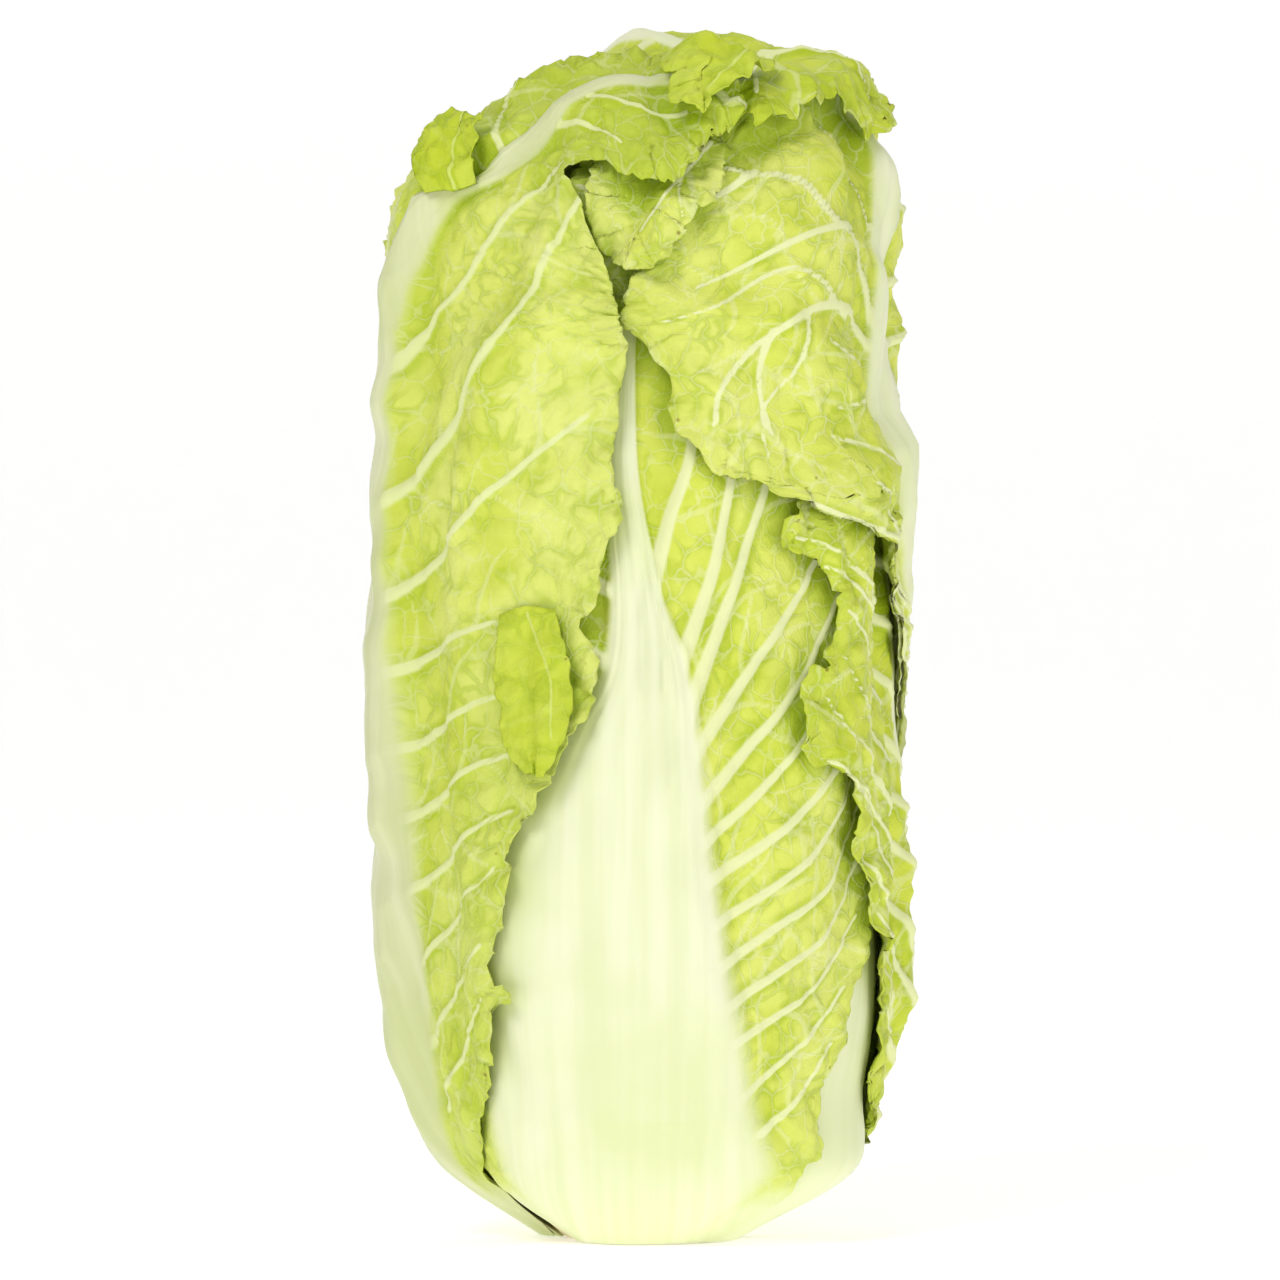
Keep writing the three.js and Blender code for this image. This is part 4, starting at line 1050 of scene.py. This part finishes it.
        "lifts": [(2, 263, 6, 6, 1.2)],
        "rib": [[5, 277], [2, 267], [-6, 255]],
        "left": [[14, 273], [10, 266], [3, 260], [-4, 255]],
        "right": [[-8, 275], [-9, 268], [-10, 261], [-9, 256]],
        "drawn": [([[9, 274], [5, 266], [-4, 258]], 0.8, 0.4)],
    },
}


# The core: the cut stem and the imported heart

core = {"stemHeight": 13.6, "hollow": 0.35, "rimHeight": 0.25, "roughness": 0.12, "rings": 90,
        "around": 140, "leaves": 5, "ridge": 2.4}


def coreMesh(name, points, rings, around):
    # closed mesh of rings between a first and a last point
    triangles, quads = [], []
    last = len(points) - 1
    for i in range(around):
        after = (i + 1) % around
        triangles.append((0, 1 + after, 1 + i))
        triangles.append((1 + (rings - 1) * around + i, 1 + (rings - 1) * around + after, last))
    for j in range(rings - 1):
        for i in range(around):
            after = (i + 1) % around
            quads.append((1 + j * around + i, 1 + j * around + after, 1 + (j + 1) * around + after,
                          1 + (j + 1) * around + i))
    mesh = bpy.data.meshes.new(name)
    mesh.from_pydata([tuple(p * metre) for p in points], [], triangles + quads)
    mesh.polygons.foreach_set("use_smooth", [True] * len(mesh.polygons))
    mesh.update()
    return addObject(name, mesh)


def heartPiece():
    foot = core["stemHeight"] + 0.5
    turn = np.linspace(0, 2 * math.pi, core["around"], endpoint=False)
    rows = [np.array([[0, 0, foot]])]
    for j in range(core["rings"]):
        climb = foot + (topClimb - foot) * j / core["rings"]
        twist = 0.35 * math.sin(climb / 30) + climb / 160
        ridge = np.abs((core["leaves"] * turn / (2 * math.pi) + twist) % 1 - 0.5)
        swell = min(1, (climb - foot) / 40) * core["ridge"] * (1 - 2 * ridge)
        crinkle = 0.4 * ripple(turn * 60 + climb * 0.4, 11, 3) * ripple(climb + turn * 8, 13, 4)
        rows.append(place(climb, turn, heartReach(climb, turn) - 0.5 - swell + np.minimum(crinkle, 0.3)))
    rows.append(place(topClimb, np.zeros(1), heartReach(topClimb, 0.0) - 1))
    return coreMesh("fine_heart", np.vstack(rows), core["rings"], core["around"])


def stemPiece():
    # cut face a little hollow in the middle, with a low rim, then the side up to the leaves
    turn = np.linspace(0, 2 * math.pi, core["around"], endpoint=False)
    rim = np.linspace(0, 2 * math.pi, 8)
    foot = heartReach(0.0, rim).min()
    profile = [(foot * s, core["hollow"] * (1 - s ** 4)) for s in np.linspace(0.04, 0.97, 24)]
    profile += [(foot, core["rimHeight"])]
    profile += [(heartReach(z, rim).min(), z) for z in np.linspace(1, core["stemHeight"] - 0.2, 14)]
    profile += [(heartReach(core["stemHeight"], rim).min() * s, core["stemHeight"])
                for s in np.linspace(0.96, 0.05, 12)]
    rows = [np.array([[0, 0, core["hollow"]]])]
    for reach, height in profile:
        rough = core["roughness"] * ripple(turn * 20 + reach, 9, 8) * (height < 1)
        rows.append(np.stack([reach * np.sin(turn), -head["depthRatio"] * reach * np.cos(turn),
                              height + np.maximum(rough, 0) + 0 * turn], axis=-1))
    rows.append(np.array([[0, 0, core["stemHeight"]]]))
    return coreMesh("fine_stem", np.vstack(rows), len(profile), core["around"])


def fleshMaterial(name, inside, outside, tan):
    # cut or packed flesh: rings of fibre about the middle line, browned towards the rim
    material = bpy.data.materials.new(name)
    material.use_nodes = True
    tree = material.node_tree
    shader = tree.nodes["Principled BSDF"]
    spot = addNode(tree, "ShaderNodeTexCoord", output="Object")
    noise = addNode(tree, "ShaderNodeTexNoise", None, {"Vector": spot, "Scale": 260.0, "Detail": 4.0})
    wide = addNode(tree, "ShaderNodeTexNoise", None, {"Vector": spot, "Scale": 45.0, "Detail": 3.0})
    flat = vectorMaths(tree, "MULTIPLY", spot, (1.0, 1.0, 0.0))
    reach = vectorMaths(tree, "LENGTH", flat, output="Value")
    wave = addNode(tree, "ShaderNodeTexWave", {"wave_type": "RINGS", "rings_direction": "Z"},
                   {"Vector": flat, "Scale": 70.0, "Distortion": 6.0, "Detail": 2.0, "Detail Scale": 3.0})
    color = mixColor(tree, remap(tree, wide, 0.35, 0.65), inside, outside)
    color = mixColor(tree, product(tree, wave, 0.22), color, tan)
    browned = total(tree, reach, product(tree, wide, 0.006))
    color = mixColor(tree, remap(tree, browned, 0.013, 0.02, 0.0, 0.5), color, tan)
    link(tree, shader.inputs["Base Color"], color)
    link(tree, shader.inputs["Roughness"], remap(tree, noise, 0.3, 0.7, 0.5, 0.7))
    shader.inputs["Subsurface Weight"].default_value = 0.05
    shader.inputs["Subsurface Scale"].default_value = 0.004
    height = total(tree, product(tree, wave, 0.4), noise)
    bump = addNode(tree, "ShaderNodeBump", None, {"Height": height, "Strength": 0.4, "Distance": 0.0008})
    link(tree, shader.inputs["Normal"], bump)
    return material


stem = stemPiece()
stem.data.materials.append(fleshMaterial(
    "cutFlesh", srgb(243, 240, 205), srgb(232, 228, 180), srgb(205, 176, 112)))
heart = heartPiece()
heart.data.materials.append(fleshMaterial(
    "heartLeaf", srgb(232, 236, 160), srgb(214, 222, 118), srgb(196, 206, 92)))
dressed = [(stem, "stem", "cut_flesh"), (heart, "heart", "heart_leaf")]
for name, leaf in leaves.items():
    slot = "inner_leaf" if leaf["finish"] == "inner" else "outer_leaf"
    dressed.append((layLeaf(name, leaf, materials[leaf["finish"]]), leaf.get("node", name), slot))

# painted shade in the nooks between leaves
paintNookShade([piece for piece, node, slot in dressed[2:]])

for piece, node, slot in dressed:
    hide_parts(node)
    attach(piece, "root")
print("leaves laid:", len(leaves))

# A plain material on each solid that a finer piece stands for
hidden = leafMaterial("solidLeaf", plainLook)
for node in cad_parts:
    solid = bpy.data.objects.get(node if isinstance(node, str) else node.get("name", ""))
    if solid is not None and solid.type == "MESH":
        solid.data.materials.clear()
        solid.data.materials.append(hidden)

# Floor, light and camera
stage = {"width": 6.0, "front": -3.2, "back": 2.1, "bend": 0.9, "height": 3.0, "drop": 0.0004,
         "glow": 0.41, "sky": 0.38}


def seamlessFloor():
    turns = np.linspace(0, math.pi / 2, 25)
    line = [(stage["front"], 0.0)] + [(stage["back"] + stage["bend"] * math.sin(t),
                                       stage["bend"] * (1 - math.cos(t))) for t in turns]
    line.append((stage["back"] + stage["bend"], stage["height"]))
    half = stage["width"] / 2
    points = [(x, y, z - stage["drop"]) for y, z in line for x in (-half, half)]
    faces = [(2 * k, 2 * k + 1, 2 * k + 3, 2 * k + 2) for k in range(len(line) - 1)]
    mesh = bpy.data.meshes.new("floor")
    mesh.from_pydata(points, [], faces)
    mesh.polygons.foreach_set("use_smooth", [True] * len(faces))
    floor = addObject("floor", mesh)
    material = bpy.data.materials.new("paleFloor")
    material.use_nodes = True
    tree = material.node_tree
    noise = addNode(tree, "ShaderNodeTexNoise", None,
                    {"Vector": addNode(tree, "ShaderNodeTexCoord", output="Object"), "Scale": 3.0})
    color = mixColor(tree, noise, srgb(250, 250, 249), srgb(252, 252, 251))
    shader = tree.nodes["Principled BSDF"].inputs
    for name, value in {"Base Color": color, "Roughness": 0.9, "Emission Color": color,
                        "Emission Strength": stage["glow"]}.items():
        link(tree, shader[name], value)
    mesh.materials.append(material)
    return floor


seamlessFloor()

lights = {  # place, aim, size, watts
    "key": ((-0.75, -1.5, 1.4), (0, 0, 0.14), 0.7, 14.0),
    "fill": ((1.1, -1.5, 0.6), (0, 0, 0.14), 1.2, 7.0),
    "top": ((0.0, 0.3, 1.7), (0, 0, 0.2), 1.2, 4.0),
}
for name, (spot, aim, size, watts) in lights.items():
    lamp = bpy.data.lights.new(name, "AREA")
    lamp.size = size
    lamp.energy = watts
    holder = addObject(name, lamp)
    holder.location = spot
    holder.rotation_euler = (Vector(aim) - Vector(spot)).to_track_quat("-Z", "Y").to_euler()

world = bpy.data.worlds.new("studio")
world.use_nodes = True
world.node_tree.nodes["Background"].inputs["Color"].default_value = (1, 1, 1, 1)
world.node_tree.nodes["Background"].inputs["Strength"].default_value = stage["sky"]
bpy.context.scene.world = world
bpy.context.scene.view_settings.view_transform = "Standard"

view = {"distance": 1.6, "height": 0.1383, "lens": 194.2}
lens = bpy.data.cameras.new("camera")
lens.lens = view["lens"]
lens.sensor_width = 36.0
camera = addObject("camera", lens)
camera.location = (0, -view["distance"], view["height"])
camera.rotation_euler = (math.pi / 2, 0, 0)
bpy.context.scene.camera = camera
print("floor, light and camera set")


def plain(box):
    return [[float(value) for value in corner] for corner in box]
